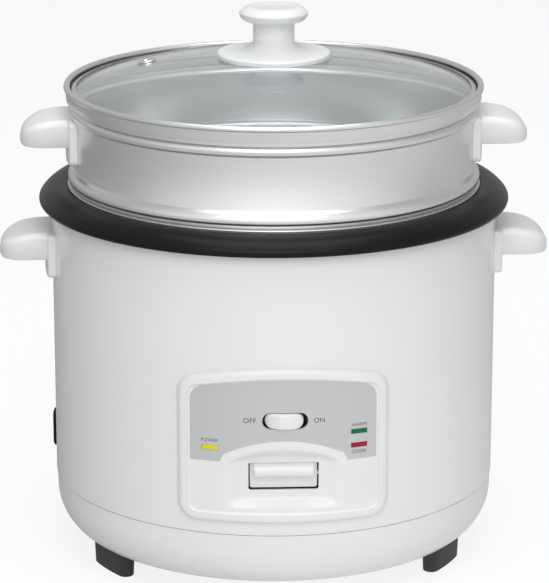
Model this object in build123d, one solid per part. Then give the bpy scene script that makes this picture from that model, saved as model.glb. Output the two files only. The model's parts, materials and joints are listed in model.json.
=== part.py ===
from build123d import *
import math
import os

# Rice cooker with a steamer pan and a glass lid. Millimetres, +Z up, origin under the feet on the
# cooker's axis, front towards -Y. Azimuths are in degrees from the front, positive towards +X.

# Pot and heating plate. The housing's radii follow from the pot, its heights from the rim and the plate.
pot_radius = 109.0
pot_wall = 1.5
pot_flange_width = 6.8
rim_height = 211.3          # inner top edge of the top ring
plate_level = 103.0         # top of the heating plate
liner_wall = 0.8
liner_gap = 2.5             # air gap round the pot
plate_radius = pot_radius - 21.0
plate_thickness = 8.0
spacer_height = 5.2
spacer_radius = plate_radius - 10.0
spacer_azimuths = (0.0, 120.0, 240.0)
element_radius = plate_radius - 28.0
terminal_x = 14.0
sensor_radius = 18.5
sensor_stroke = 1.5

# Cook key and its lever
pivot_z = plate_level - 27.0
pivot_y = -(spacer_radius - 16.0)    # clear of the front spacer's screw
pin_radius = 2.0
cheek_gap = 13.0
cheek_wall = 1.5
rod_radius = 2.5
magnet_radius = 8.5
magnet_height = 7.0
key_centre = pivot_z + 1.7
key_width = 36.4
key_height = 14.5
key_tongue = 26.0
key_stroke_angle = 5.0

# Control panel
panel_half_width = 56.7
panel_bottom = key_centre - 25.3
panel_corner_top = panel_bottom + 79.8
panel_top = panel_bottom + 86.9
panel_frame = 6.6           # width of the raised frame
panel_relief = 3.6          # how far the frame stands off the housing
pocket_depth = 6.0
pocket_half_width = 30.5
fascia_wall = 0.5
fascia_foot = panel_bottom + 34.4
lamp_width = 8.6
lamp_height = 2.6
lamps = ((-39.6, panel_bottom + 41.9, "power"), (40.6, panel_bottom + 50.0, "warm"),
         (40.6, panel_bottom + 42.3, "cook"))
rocker_x = 0.6
rocker_z = panel_bottom + 58.1
rocker_length = 20.8
rocker_width = 8.4
rocker_tilt = 7.0

# Housing
body_radius = pot_radius + 16.0
shell_wall = 1.0
seam_height = panel_bottom - 8.2                    # lower edge of the sheet housing
spigot_height = 4.4                                 # how far the base ring reaches up inside it
rim_outer_radius = body_radius + 7.0
rim_inner_radius = pot_radius + pot_flange_width + 0.7
foot_height = 13.6
foot_length = 35.0
foot_depth = 10.0
foot_azimuths = (-60.0, 60.0, 180.0)
base_wall = 2.6
base_plate_wall = 1.0
vent_count = 12
vent_length = 26.0
vent_width = 4.0
vent_ring = 46.0
post_radius = plate_radius

# Steamer pan
steamer_radius = pot_radius + 3.3
steamer_wall = 0.7
basket_gap = 2.0            # loose seat of the steamer in the pot
steamer_height = 56.2       # from the pot's rim to the top of the rolled rim
skirt_depth = 34.1          # the part that hangs inside the pot
hole_radius = 3.0
hole_rings = 4
hole_pitch = 24.0

# Lid
glass_radius = steamer_radius + 0.3
glass_thickness = 3.2
dome_rise = 18.9
band_wall = 0.6
vent_azimuth = -106.1
vent_distance = 73.4
knob_height = 27.0
knob_radius = 19.2
knob_foot_radius = 31.7
knob_neck_radius = 11.5

# Handles
handle_reach = 29.4
handle_half_width = 25.0    # of the plate on the wall
grip_half_width = 20.5
grip_corner = 14.0
handle_height = 16.2
handle_wall = 2.5
handle_plate_wall = 4.2
handle_plate_height = 25.0
body_handle_top = rim_height - 24.3

# Power inlet
inlet_azimuth = -107.0
inlet_height = seam_height + 14.0
inlet_width = 30.0
inlet_tall = 23.0
inlet_depth = 15.0

# Terminal block
block_length = 44.0
block_width = 16.0
block_x = -40.0
block_y = -30.0

# Clearances
seat_gap = 0.3              # between pieces that rest on curved faces
fit_gap = 0.15              # between pieces fixed in each other
running_gap = 0.06          # pins in their bores
slot_gap = 0.7              # round the cook key

os.makedirs("parts", exist_ok=True)


def save(name, *solids):
    shape = solids[0] if len(solids) == 1 else Compound(children=list(solids))
    export_step(shape, "parts/" + name + ".step")


def section(points, rounds=()):
    """Closed (r, z) outline in the XZ plane; rounds holds (corner index, radius)."""
    face = Plane.XZ * make_face(Polyline(*points, close=True))
    for index, radius in rounds:
        r, z = points[index]
        corner = [v for v in face.vertices() if abs(v.X - r) + abs(v.Z - z) < 1e-6]
        face = fillet(corner, radius)
    return face


def lathe(points, rounds=()):
    return revolve(section(points, rounds), Axis.Z)


def disc(radius, low, high):
    return Pos(0, 0, low) * Cylinder(radius, high - low, align=(Align.CENTER, Align.CENTER, Align.MIN))


def tube(outer, inner, low, high):
    return disc(outer, low, high) - disc(inner, low - 1, high + 1)


def block(x, y, z):
    """Box from three (low, high) pairs."""
    size = [high - low for low, high in (x, y, z)]
    return Pos(x[0], y[0], z[0]) * Box(*size, align=(Align.MIN, Align.MIN, Align.MIN))


def turned(azimuth, shape):
    return Rot(0, 0, azimuth) * shape


def through_front(face, depth=40.0):
    """Prism of an XZ outline that reaches from the front surface inwards."""
    return Pos(0, -body_radius - 15, 0) * extrude(Plane.XZ * face, depth, dir=(0, 1, 0))


def screw(head_radius, head_height, shank_radius, shank_length):
    """Screw along -Z with the underside of its head at the origin, with a cross slot."""
    head = disc(head_radius, 0, head_height)
    slot = 0.35 * head_radius
    head -= block((-2 * slot, 2 * slot), (-0.3 * slot, 0.3 * slot), (head_height / 2, head_height + 1))
    head -= block((-0.3 * slot, 0.3 * slot), (-2 * slot, 2 * slot), (head_height / 2, head_height + 1))
    return head + disc(shank_radius, -shank_length, 0)


def outward(radius, azimuth, height, shape):
    """Place a shape so that its +Z points radially outwards at that radius, azimuth and height."""
    return turned(azimuth, Pos(0, -radius, height) * Rot(90, 0, 0) * shape)


def inward(radius, azimuth, height, shape):
    return turned(azimuth, Pos(0, -radius, height) * Rot(-90, 0, 0) * shape)


def coil(mean_radius, wire, low, high, turns, steps=12):
    """Unbroken helical spring of square wire, its ends flat on its seats."""
    rise = (high - low - wire) / (turns * steps)
    stations = []
    for step in range(turns * steps + 1):
        place = Rot(0, 0, 360.0 * step / steps) * Pos(mean_radius, 0, low + wire / 2 + rise * step)
        stations.append(place * Rot(90, 0, 0) * Rectangle(wire, wire))
    return loft(stations, ruled=True)


# Heights that follow from the sizes above
flange_seat = rim_height - 0.7                      # ledge of the top ring that carries the pot
pot_top = flange_seat + pot_wall
plate_top = plate_level
pot_bottom = plate_top + seat_gap
plate_bottom = plate_top - plate_thickness
liner_top = plate_bottom - spacer_height            # upper side of the liner's floor
liner_under = liner_top - liner_wall
liner_inner_radius = pot_radius + liner_gap
liner_outer_radius = liner_inner_radius + liner_wall
pot_flange_radius = pot_radius + pot_flange_width
terminal_y = math.sqrt(element_radius ** 2 - terminal_x ** 2)
ring_collar_foot = rim_height - 5.7
shell_top = ring_collar_foot - liner_wall
base_plate_under = foot_height + 2.5
base_plate_top = base_plate_under + base_plate_wall
steamer_top = pot_top + steamer_height
ledge_top = steamer_top - 7.9                       # the lid's seat inside the steamer's rim
basket_radius = pot_radius - pot_wall - basket_gap
steamer_floor_under = pot_top - skirt_depth
steamer_handle_top = ledge_top - 9.3


def top_ring():
    """Black moulded ring: convex visible face, ledge for the pot, collar that stands on the liner."""
    low = rim_height - 9.8
    wall = 2.6
    out, inn = rim_outer_radius, rim_inner_radius
    crown = ThreePointArc((inn, rim_height), (inn + 9.3, rim_height - 1.2), (out - 0.9, rim_height - 5.6))
    lip = ThreePointArc((out - 0.9, rim_height - 5.6), (out, rim_height - 7.4), (out - 1.0, low))
    rest = Polyline((out - 1.0, low), (out - 1.0 - wall, low), (out - 1.2 - wall, rim_height - 5.6),
                    (inn + 9.0, rim_height - 3.9), (inn - 1.2, rim_height - 2.7),
                    (inn - 1.2, ring_collar_foot), (inn - 3.2, ring_collar_foot),
                    (inn - 3.2, rim_height - 2.7), (pot_radius + 2.0, rim_height - 2.7),
                    (pot_radius + 2.0, flange_seat), (inn, flange_seat), (inn, rim_height))
    return revolve(Plane.XZ * make_face([crown, lip, rest]), Axis.Z)


def panel_outline(inset=0.0, bottom=panel_bottom, corner=10.0):
    side = panel_half_width - inset
    face = make_face([
        Polyline((-side, panel_corner_top - inset), (-side, bottom + inset), (side, bottom + inset),
                 (side, panel_corner_top - inset)),
        ThreePointArc((side, panel_corner_top - inset), (0, panel_top - inset),
                      (-side, panel_corner_top - inset))])
    return fillet(face.vertices(), max(corner - inset, 2.0))


def window_outline(inset=0.0):
    """Opening of the sheet housing behind the panel."""
    half = panel_half_width - 9.0 - inset
    low, high = panel_bottom + 7.0 + inset, panel_corner_top - 6.0 - inset
    return Pos(0, (low + high) / 2) * RectangleRounded(2 * half, high - low, 4.0)


def fascia_outline(inset=0.0):
    """Silver plate: curved top, and an arch over the key's pocket at its foot."""
    side, foot = panel_half_width - panel_frame - inset, fascia_foot + inset
    top, arch = panel_top - panel_frame + 0.4 - inset, fascia_foot + 12.4 + inset
    shoulder = top - 5.5
    face = make_face([
        Polyline((side, shoulder), (side, foot), (34.5 + inset, foot), (32.3 + inset, foot + 4.4)),
        ThreePointArc((32.3 + inset, foot + 4.4), (0, arch), (-32.3 - inset, foot + 4.4)),
        Polyline((-32.3 - inset, foot + 4.4), (-34.5 - inset, foot), (-side, foot), (-side, shoulder)),
        ThreePointArc((-side, shoulder), (0, top), (side, shoulder))])
    upper = [v for v in face.vertices() if v.Y > shoulder - 1]
    return fillet(upper, 8.5 - inset)


def outer_shell():
    """Rolled sheet housing with an inward flange that the top ring and the liner stand on."""
    out, inn = body_radius, body_radius - shell_wall
    shell = lathe([(out, seam_height), (out, shell_top), (liner_outer_radius + 0.7, shell_top),
                   (liner_outer_radius + 0.7, shell_top - shell_wall), (inn, shell_top - shell_wall),
                   (inn, seam_height)])
    shell -= through_front(window_outline(), 40.0)
    socket = block((-12.7, 12.7), (-body_radius - 5, -body_radius + 10),
                   (inlet_height - 9.2, inlet_height + 9.2))
    shell -= turned(inlet_azimuth, socket)
    for azimuth, height in panel_screw_places():
        shell -= outward(out, azimuth, height, disc(1.7, -5, 5))
    for azimuth, height in handle_screw_places(body_radius, body_handle_top):
        shell -= outward(out, azimuth, height, disc(1.9, -5, 5))
    return shell


def handle_screw_places(wall_radius, top):
    spread = math.degrees(math.asin(12.0 / wall_radius))
    height = top - handle_height + 5.0
    return [(side * 90.0 + offset, height) for side in (-1, 1) for offset in (-spread, spread)]


def panel_screw_places():
    azimuth = math.degrees(math.asin((panel_half_width - 4.6) / body_radius))
    return [(side * azimuth, height) for side in (-1, 1) for height in (panel_bottom + 16, panel_top - 22)]


def handle(wall_radius, top):
    """Ear on the +X side: plate that hugs the wall, grip open underneath with two screw bosses."""
    seat = wall_radius + fit_gap / 3
    tip = wall_radius + handle_reach
    root = wall_radius - 2.0
    low = top - handle_height
    drop, run = 0.7 * handle_height, 0.85 * handle_reach

    def ear(inset, foot, head, crease):
        plan = Pos((root + tip) / 2, 0, foot) * RectangleRounded(
            tip - root - 2 * inset, 2 * (grip_half_width - inset), grip_corner - inset)
        body = extrude(plan, head - foot)
        return fillet(body.edges().group_by(Axis.Z)[-1], crease)

    def side(inset, under, roof, round_foot):
        """Side view of the ear: the top falls away to the tip along a quarter of an ellipse."""
        nose = tip - inset
        face = make_face([
            Polyline((nose, top - drop), (nose, under), (root, under), (root, top - roof),
                     (tip - run, top - roof)),
            EllipticalCenterArc((tip - run, top - drop), run - inset, drop - roof,
                                start_angle=0, arc_size=90)])
        if round_foot:
            face = fillet([v for v in face.vertices() if v.X > nose - 1 and v.Y < under + 1], round_foot)
        return extrude(Plane.XZ * face, 2 * grip_half_width, both=True)

    grip = ear(0, low - 1, top, 4.0) & side(0, low + 0.7, 0, 3.0)
    roof = handle_wall + 1.2
    grip -= ear(handle_wall, low - 2, top - roof, 2.0) & side(handle_wall, low - 3, roof, 0)
    foot = top - handle_plate_height
    plate = lathe([(seat, foot), (seat + 1.2, foot), (seat + handle_plate_wall, foot + 1.2),
                   (seat + handle_plate_wall, top), (seat, top)])
    outline = Plane.YZ * Pos(0, top - handle_plate_height / 2) * RectangleRounded(
        2 * handle_half_width, handle_plate_height, 3.0)
    plate &= extrude(outline, 2 * tip)
    body = grip + plate
    for azimuth, height in handle_screw_places(wall_radius, top)[2:]:
        body += outward(wall_radius, azimuth, height, disc(4.0, 1.0, 10.0))
    body -= disc(seat, foot - 1, top + 1)
    for azimuth, height in handle_screw_places(wall_radius, top)[2:]:
        body -= outward(wall_radius, azimuth, height, disc(1.5, -1, 9.0))
    return body


def base_ring():
    """White moulded foot of the housing: tucks in towards the floor, carries the sheet on a step."""
    out, inn = body_radius - 0.4, body_radius - 0.4 - base_wall
    low = foot_height
    rise = seam_height - low
    shoulder, waist, hem = low + 0.70 * rise, low + 0.366 * rise, low + 0.092 * rise
    outside = [Line((out, seam_height), (out - 0.3, shoulder)),
               ThreePointArc((out - 0.3, shoulder), (out - 2.5, waist), (out - 8.3, hem)),
               Polyline((out - 8.3, hem), (out - 12.0, low), (out - 14.1, low),
                        (out - 14.1, base_plate_under), (out - 11.2, base_plate_under)),
               ThreePointArc((out - 11.2, base_plate_under), (inn - 2.8, waist), (inn - 0.4, shoulder)),
               Polyline((inn - 0.4, shoulder), (inn - 0.4, seam_height + spigot_height),
                        (body_radius - shell_wall - fit_gap, seam_height + spigot_height),
                        (body_radius - shell_wall - fit_gap, seam_height), (out, seam_height))]
    return revolve(Plane.XZ * make_face(outside), Axis.Z)


def base_plate():
    """Pressed sheet floor with cooling slots and holes for the tie screws and the foot screws."""
    edge, dish = body_radius - 12.0, vent_ring + 20.0
    plate = lathe([(0, base_plate_under), (edge, base_plate_under), (edge, base_plate_top),
                   (dish + 4, base_plate_top), (dish, base_plate_top + 3), (0, base_plate_top + 3)])
    plate -= disc(dish - 0.5, base_plate_under - 1, base_plate_top + 2)
    slot = Pos(0, -vent_ring, base_plate_top) * extrude(
        Rot(0, 0, 90) * SlotOverall(vent_length, vent_width), 6, both=True)
    plate -= [turned(360.0 * k / vent_count, slot) for k in range(vent_count)]
    for azimuth in foot_azimuths:
        for radius in (foot_radius(), post_radius):
            plate -= turned(azimuth, Pos(0, -radius, 0) * disc(1.8, base_plate_under - 1, base_plate_top + 1))
    return plate


def foot_radius():
    return body_radius - 13.0 - foot_depth / 2


def foot():
    """Moulded foot at the front: bent along the base's edge, round ends, a step inside the base ring."""
    sweep = math.degrees((foot_length - foot_depth) / foot_radius())
    outline = SlotArc(CenterArc((0, 0), foot_radius(), 270 - sweep / 2, sweep), foot_depth - 1.0)
    body = extrude(outline, foot_height - 0.1, taper=-2.0)
    body = fillet(body.edges().group_by(Axis.Z)[0], 0.8)
    inner = foot_radius() - foot_depth / 2 + 1.0
    step = tube(body_radius - 14.7, inner, foot_height - 0.5, base_plate_under)
    step &= block((-foot_length / 2 + 5, foot_length / 2 - 5), (-body_radius, 0), (0, base_plate_under))
    hole = Pos(0, -foot_radius(), 0) * (disc(3.4, -1, 5.0) + disc(1.8, 0, base_plate_top + 1))
    return body + step - hole


def foot_screws():
    shank = base_plate_top + 4.0 - 5.0
    one = Pos(0, -foot_radius(), 5.0) * Rot(180, 0, 0) * screw(3.1, 2.2, 1.5, shank)
    return [turned(azimuth, one) for azimuth in foot_azimuths]


def tie_posts():
    """Three spacer posts that tie the base plate to the liner's floor."""
    one = Pos(0, -post_radius, 0) * disc(4.0, base_plate_top, liner_under)
    one -= Pos(0, -post_radius, 0) * disc(1.6, base_plate_top - 1, base_plate_top + 12)
    return [turned(azimuth, one) for azimuth in foot_azimuths]


def base_screws():
    one = Pos(0, -post_radius, base_plate_under) * Rot(180, 0, 0) * screw(3.4, 2.0, 1.5, 10)
    return [turned(azimuth, one) for azimuth in foot_azimuths]


def inner_liner():
    """Deep-drawn can round the pot, hung by its flange; its floor carries the heating plate."""
    out, inn = liner_outer_radius, liner_inner_radius
    can = lathe([(0, liner_under), (out, liner_under), (out, shell_top), (out + 5.5, shell_top),
                 (out + 5.5, ring_collar_foot), (inn, ring_collar_foot), (inn, liner_top), (0, liner_top)],
                [(1, 9.0), (6, 9.0 - liner_wall)])
    can -= disc(sensor_radius + 7, liner_under - 1, liner_top + 1)
    for azimuth in spacer_azimuths:
        can -= turned(azimuth, Pos(0, -spacer_radius, 0) * disc(1.8, liner_under - 1, liner_top + 1))
    for x in (-terminal_x, terminal_x):
        can -= Pos(x, terminal_y, 0) * disc(4.2, liner_under - 1, liner_top + 1)
    for x, y in frame_screw_places():
        can -= Pos(x, y, 0) * disc(1.6, liner_under - 1, liner_top + 1)
    return can


def heating_plate():
    """Cast plate with the element's rib underneath and a hole for the sensor cup."""
    rib = 3.6
    plate = lathe([(sensor_radius + 1.5, plate_bottom), (element_radius - 6, plate_bottom),
                   (element_radius - 4.5, plate_bottom - rib), (element_radius + 4.5, plate_bottom - rib),
                   (element_radius + 6, plate_bottom), (plate_radius - 2.5, plate_bottom),
                   (plate_radius, plate_bottom + 2.5), (plate_radius, plate_top - 1.5),
                   (plate_radius - 1.5, plate_top), (sensor_radius + 1.5, plate_top)])
    for azimuth in spacer_azimuths:
        plate -= turned(azimuth, Pos(0, -spacer_radius, 0) * disc(1.6, plate_bottom - 1, plate_bottom + 5))
    return plate


def heater_spacers():
    one = Pos(0, -spacer_radius, 0) * tube(5.0, 1.8, liner_top, plate_bottom)
    return [turned(azimuth, one) for azimuth in spacer_azimuths]


def heater_screws():
    one = Pos(0, -spacer_radius, liner_under) * Rot(180, 0, 0) * screw(
        3.4, 2.0, 1.5, liner_wall + spacer_height + 4.5)
    return [turned(azimuth, one) for azimuth in spacer_azimuths]


def heater_terminals():
    """Threaded studs of the element, each in its insulating bush, down through the liner."""
    rib_foot = plate_bottom - 3.6
    stud = disc(2.0, rib_foot - 16, rib_foot) + disc(3.8, rib_foot - 5.8, rib_foot - 0.6)
    return [Pos(x, terminal_y, 0) * stud for x in (-terminal_x, terminal_x)]


def inner_pot():
    """Spun pot with a flat flange, a rounded foot and a floor that lies on the heating plate."""
    out, inn = pot_radius, pot_radius - pot_wall
    return lathe([(0, pot_bottom), (out, pot_bottom), (out, flange_seat), (pot_flange_radius, flange_seat),
                  (pot_flange_radius, pot_top), (inn, pot_top), (inn, pot_bottom + pot_wall),
                  (0, pot_bottom + pot_wall)], [(1, 14.0), (6, 14.0 - pot_wall)])


# Magnetic sensor in the middle of the heating plate
sensor_top = plate_top
cup_wall = 1.0
ferrite_top = sensor_top - cup_wall
ferrite_height = 4.0
ferrite_under = ferrite_top - ferrite_height
sensor_tube_radius = 13.0
frame_top = plate_bottom - 22.8
frame_wall = 1.5
lever_crest = frame_top - 11.3
collar_under = lever_crest + seat_gap
lever_inner_arm = -pivot_y
magnet_stroke = lever_inner_arm * math.radians(key_stroke_angle)
magnet_top = ferrite_under - seat_gap - sensor_stroke - magnet_stroke
carrier_top = magnet_top - magnet_height
carrier_wall = 1.3


def sensor_cup():
    """Cap that meets the pot, with a guide tube that runs in the frame below."""
    cap = lathe([(0, sensor_top), (0, ferrite_top), (sensor_tube_radius - 0.8, ferrite_top),
                 (sensor_tube_radius - 0.8, frame_top - 2.9), (sensor_tube_radius + 1.8, frame_top - 2.9),
                 (sensor_tube_radius + 1.8, frame_top - 1.8), (sensor_tube_radius, frame_top - 1.8),
                 (sensor_tube_radius, ferrite_top), (sensor_radius - cup_wall, ferrite_top),
                 (sensor_radius - cup_wall, sensor_top - 12), (sensor_radius, sensor_top - 12),
                 (sensor_radius, sensor_top)], [(11, 1.5)])
    return cap


def thermostat_frame():
    """Bent steel strap under the liner's floor; its hole guides the sensor's tube."""
    half, depth = sensor_radius + 13.5, 9.0
    under = frame_top - frame_wall
    strap = block((-half, half), (-depth - 8, depth + 8), (under, frame_top))
    for side in (-1, 1):
        leg = sorted((side * half, side * (half - frame_wall)))
        foot_x = sorted((side * (half - frame_wall), side * (half + 13)))
        strap += block(leg, (-depth, depth), (under, liner_under))
        strap += block(foot_x, (-depth, depth), (liner_under - frame_wall, liner_under))
        strap -= Pos(side * (half + 7), 0, 0) * disc(1.6, liner_under - 3, liner_under + 1)
    return strap - disc(sensor_tube_radius + 0.2, under - 1, frame_top + 1)


def frame_screw_places():
    """Screws up into the liner's floor: strap of the sensor, bracket of the lever, two switches."""
    strap_x = sensor_radius + 20.5
    wing_x = cheek_gap / 2 + cheek_wall + 6.5
    return [(-strap_x, 0.0), (strap_x, 0.0), (-wing_x, pivot_y), (wing_x, pivot_y),
            (switch_x + 10.5, switch_y + 2), (warm_x, warm_y + 11), (fuse_x, fuse_y + 8.5)]


def frame_screws():
    one = Pos(0, 0, liner_under - frame_wall) * Rot(180, 0, 0) * screw(
        2.8, 1.8, 1.4, frame_wall + liner_wall + 0.9)
    return [Pos(x, y, 0) * one for x, y in frame_screw_places()]


def lug(x, y, height):
    """Flat eye of sheet or moulding, screwed up against the liner's floor."""
    return Pos(x, y, 0) * tube(4.2, 1.6, height, liner_under)


def magnet_rod():
    """Carrier under the magnet, pull rod and the collar that the lever lifts."""
    return (disc(magnet_radius + 2.8, carrier_top - carrier_wall, carrier_top)
            + disc(rod_radius, collar_under - 4, carrier_top)
            + disc(cheek_gap / 2 + cheek_wall, collar_under, collar_under + 1.7))


def lever_arm():
    """Bent channel: two cheeks with a web between them, pivot holes and a rounded lifting crest."""
    front = -panel_inner_y - 8.0
    outline = make_face(Polyline(
        (-front, key_centre + 0.6), (pivot_y, pivot_z + 5.5), (pivot_y + 17, pivot_z + 0.5),
        (-24, lever_crest + 1.0), (-13, lever_crest - 2.6), (9, lever_crest - 2.6), (9, lever_crest - 6.5),
        (-24, lever_crest - 6.5), (pivot_y + 12, pivot_z - 9), (pivot_y, pivot_z - 6),
        (-front, key_centre - 5.8), close=True))
    crest = Pos(0, lever_crest - 14.0) * Circle(14.0) & Pos(0, lever_crest - 2.6) * Rectangle(16, 5.2)
    side = Plane.YZ * (outline + crest)
    cheeks = [Pos(x, 0, 0) * extrude(side, cheek_wall, both=False) for x in
              (-cheek_gap / 2 - cheek_wall, cheek_gap / 2)]
    arm = cheeks[0] + cheeks[1]
    web_x = (-cheek_gap / 2 - 0.5, cheek_gap / 2 + 0.5)
    for web_y in ((-front + 22, pivot_y - 6), (pivot_y + 7, pivot_y + 17)):
        arm += block(web_x, web_y, (pivot_z - 3.5, pivot_z - 2.0))
    tab = block((cheek_gap / 2 + cheek_wall - 0.5, switch_x + 3.0), (switch_y - 3, switch_y + 3),
                (tab_top - 1.5, tab_top))
    hole = Rot(0, 90, 0) * Cylinder(pin_radius + running_gap, 3 * cheek_gap)
    return arm + tab - Pos(0, pivot_y, pivot_z) * hole


switch_x = 17.0
switch_y = pivot_y + 22.0
plunger_half = 1.5
plunger_length = 6.5
tab_top = pivot_z - 6.0
plunger_stroke = (switch_y - pivot_y) * math.radians(key_stroke_angle)
panel_inner_y = -(body_radius + panel_relief - 1.1 - pocket_depth - 1.5)    # back of the pocket's floor


def lever_pin():
    width = cheek_gap / 2 + cheek_wall + 3.6
    pin = Rot(0, 90, 0) * Cylinder(pin_radius, 2 * width)
    heads = [Pos(x, 0, 0) * Rot(0, 90, 0) * Cylinder(pin_radius + 1.2, 1.2) for x in (-width, width)]
    return Pos(0, pivot_y, pivot_z) * (pin + heads[0] + heads[1])


def lever_bracket():
    """Folded ears that hang from the liner's floor and hold the pivot pin."""
    inner = cheek_gap / 2 + cheek_wall + 1.0
    ears = None
    for side in (-1, 1):
        ear_x = sorted((side * inner, side * (inner + 1.5)))
        ear = block(ear_x, (pivot_y - 6, pivot_y + 6), (pivot_z - 5, liner_under))
        wing = block(sorted((side * inner, side * (inner + 10))), (pivot_y - 6, pivot_y + 6),
                     (liner_under - 1.5, liner_under))
        ears = ear + wing if ears is None else ears + ear + wing
    bridge = block((-inner, inner), (pivot_y - 6, pivot_y + 6), (liner_under - 1.5, liner_under))
    hole = Pos(0, pivot_y, pivot_z) * Rot(0, 90, 0) * Cylinder(pin_radius + 0.02, 4 * inner)
    bracket = ears + bridge - hole
    for x, y in frame_screw_places()[2:4]:
        bracket -= Pos(x, y, 0) * disc(1.6, liner_under - 3, liner_under + 1)
    return bracket


def micro_switch():
    """Snap switch that hangs from the liner's floor beside the lever, with its plunger's bore."""
    low = tab_top + seat_gap + 2.2
    body = block((switch_x - 3.2, switch_x + 6.0), (switch_y - 8, switch_y + 12), (low, liner_under))
    place = frame_screw_places()[4]
    body += block((switch_x + 5, place[0]), (switch_y - 2.2, switch_y + 6.2),
                  (liner_under - frame_wall, liner_under))
    body += lug(*place, liner_under - frame_wall)
    body -= Pos(*place) * disc(1.6, liner_under - 3, liner_under + 1)
    bore = plunger_half + 0.2
    return body - block((switch_x - bore, switch_x + bore), (switch_y - bore, switch_y + bore),
                        (low - 1, low + plunger_length + 1.0))


def switch_plunger():
    low, half = tab_top + seat_gap, plunger_half
    return block((switch_x - half, switch_x + half), (switch_y - half, switch_y + half),
                 (low, low + plunger_length))


def cook_key():
    """Key seen in the pocket: flat plate, a rounded ridge for the finger, a tongue in the lever."""
    front = panel_inner_y + 0.4
    low, high = key_centre - key_height / 2, key_centre + key_height / 2
    plate = block((-key_width / 2, key_width / 2), (front, front + 2.0), (low, high))
    plate = fillet(plate.edges().filter_by(Axis.Y), 1.2)
    ridge_low = low + 5.9
    lip, heel = (front - 3.4, high), (front - 3.8, high - 7.2)
    profile = make_face([Polyline((front + 0.5, high), lip),
                         ThreePointArc(lip, (front - 6.6, high - 3.4), heel),
                         Polyline(heel, (front + 0.5, ridge_low), (front + 0.5, high))])
    ridge = Pos(-key_width / 2 + 2.4, 0, 0) * extrude(Plane.YZ * profile, key_width - 4.8)
    tongue = block((-cheek_gap / 2 + fit_gap, cheek_gap / 2 - fit_gap), (front + 1.5, front + key_tongue),
                   (key_centre - 4.2, key_centre - 0.6))
    wings = block((-cheek_gap / 2 - 4, cheek_gap / 2 + 4), (front + 1.5, front + 5.5),
                  (key_centre - 5.6, key_centre + 0.4))
    return plate + ridge + tongue + wings


def pocket_outline(spread=0.0):
    """Arched mouth of the key's pocket on the face of the panel."""
    side, low, high = pocket_half_width + spread, key_centre - 16.7 - spread, key_centre + 9.3 + spread
    face = make_face([Polyline((side, high), (side - 1.0, low), (-side + 1.0, low), (-side, high)),
                      ThreePointArc((-side, high), (0, high + 8.0), (side, high))])
    return face


def control_panel():
    """Curved moulded bezel: bevelled frame, recessed face, pocket for the key, lamp and switch holes."""
    back, face = body_radius + 0.2, body_radius + panel_relief - 1.1
    crest = body_radius + panel_relief
    bevel = 2.4
    high = panel_top + 5

    def curved(outer, inner, outline):
        return tube(outer, inner, 20, high + 20) & through_front(outline)

    panel = curved(crest - bevel, back, panel_outline())
    steps = 4
    for k in range(1, steps + 1):
        angle = math.radians(90.0 * k / steps)
        inset = bevel * 1.4 * (1 - math.cos(angle))
        panel += curved(crest - bevel + bevel * math.sin(angle), back, panel_outline(inset))
    panel -= curved(crest + 5, face, panel_outline(panel_frame - 0.4))
    panel -= curved(crest + 5, face - fascia_wall, fascia_outline(-fit_gap))
    rim = curved(back + 0.5, body_radius - shell_wall - 2.0, window_outline(0.4))
    panel += rim - through_front(window_outline(2.6)) - disc(body_radius - 4, 0, 300)
    floor_y = -(face - pocket_depth)
    deep = 1.5

    def funnel(spread, y_front, y_back):
        mouth = Pos(0, y_front, 0) * (Plane.XZ * pocket_outline(spread))
        low, top = key_centre - key_height / 2 - 4.0 - spread, key_centre + key_height / 2 + 3.4 + spread
        half = key_width / 2 + 3.0 + spread
        heel = Pos(0, y_back, 0) * (Plane.XZ * make_face([
            Polyline((half, top - 1.0), (half, low), (-half, low), (-half, top - 1.0)),
            ThreePointArc((-half, top - 1.0), (0, top), (half, top - 1.0))]))
        return loft([mouth, heel])

    cup = funnel(deep, -face, floor_y + deep) & disc(face, 0, 300)
    inside = funnel(0.0, -face - 0.6, floor_y)
    panel = panel + cup - inside
    opening = block((-key_width / 2 - slot_gap, key_width / 2 + slot_gap), (floor_y - 3, floor_y + 3),
                    (key_centre - key_height / 2 - slot_gap, key_centre + key_height / 2 + 0.4))
    panel -= fillet(opening.edges().filter_by(Axis.Y), 1.2)
    for x, z, _ in lamps:
        panel -= through_front(Pos(x, z) * Rectangle(lamp_width + 2 * fit_gap, lamp_height + 2 * fit_gap), 25)
    panel -= through_front(Pos(rocker_x, rocker_z) * SlotOverall(rocker_length + 4.0, rocker_width + 0.8), 25)
    for azimuth, height in panel_screw_places():
        panel -= outward(back, azimuth, height, disc(1.4, -1, 2.0))
    return panel


def panel_fascia():
    face = body_radius + panel_relief - 1.1
    sheet = tube(face, face - fascia_wall + 0.05, 60, 160) & through_front(fascia_outline())
    for x, z, _ in lamps:
        sheet -= through_front(Pos(x, z) * Rectangle(lamp_width + 2 * fit_gap, lamp_height + 2 * fit_gap), 25)
    return sheet - through_front(
        Pos(rocker_x, rocker_z) * SlotOverall(rocker_length + 4.0, rocker_width + 0.8), 25)


def lamp(x, z):
    face = body_radius + panel_relief - 1.1
    prism = through_front(Pos(x, z) * Rectangle(lamp_width, lamp_height))
    return tube(face + 0.2, face - 3.4, 60, 160) & prism


def lamp_bulbs():
    """Small neon bulbs behind the lenses."""
    bulbs = []
    for x, z, _ in lamps:
        azimuth = math.degrees(math.asin(x / (body_radius - 2)))
        bulb = disc(2.0, -7.0, 0) + Sphere(2.0)
        bulbs.append(outward(body_radius + panel_relief - 1.1 - 3.4 - seat_gap - 2.0, azimuth, z, bulb))
    return bulbs


def head_gap(head_radius):
    """How far a flat screw head stays off the housing's curved inner side."""
    return head_radius ** 2 / (2 * steamer_radius) + 0.01


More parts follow.
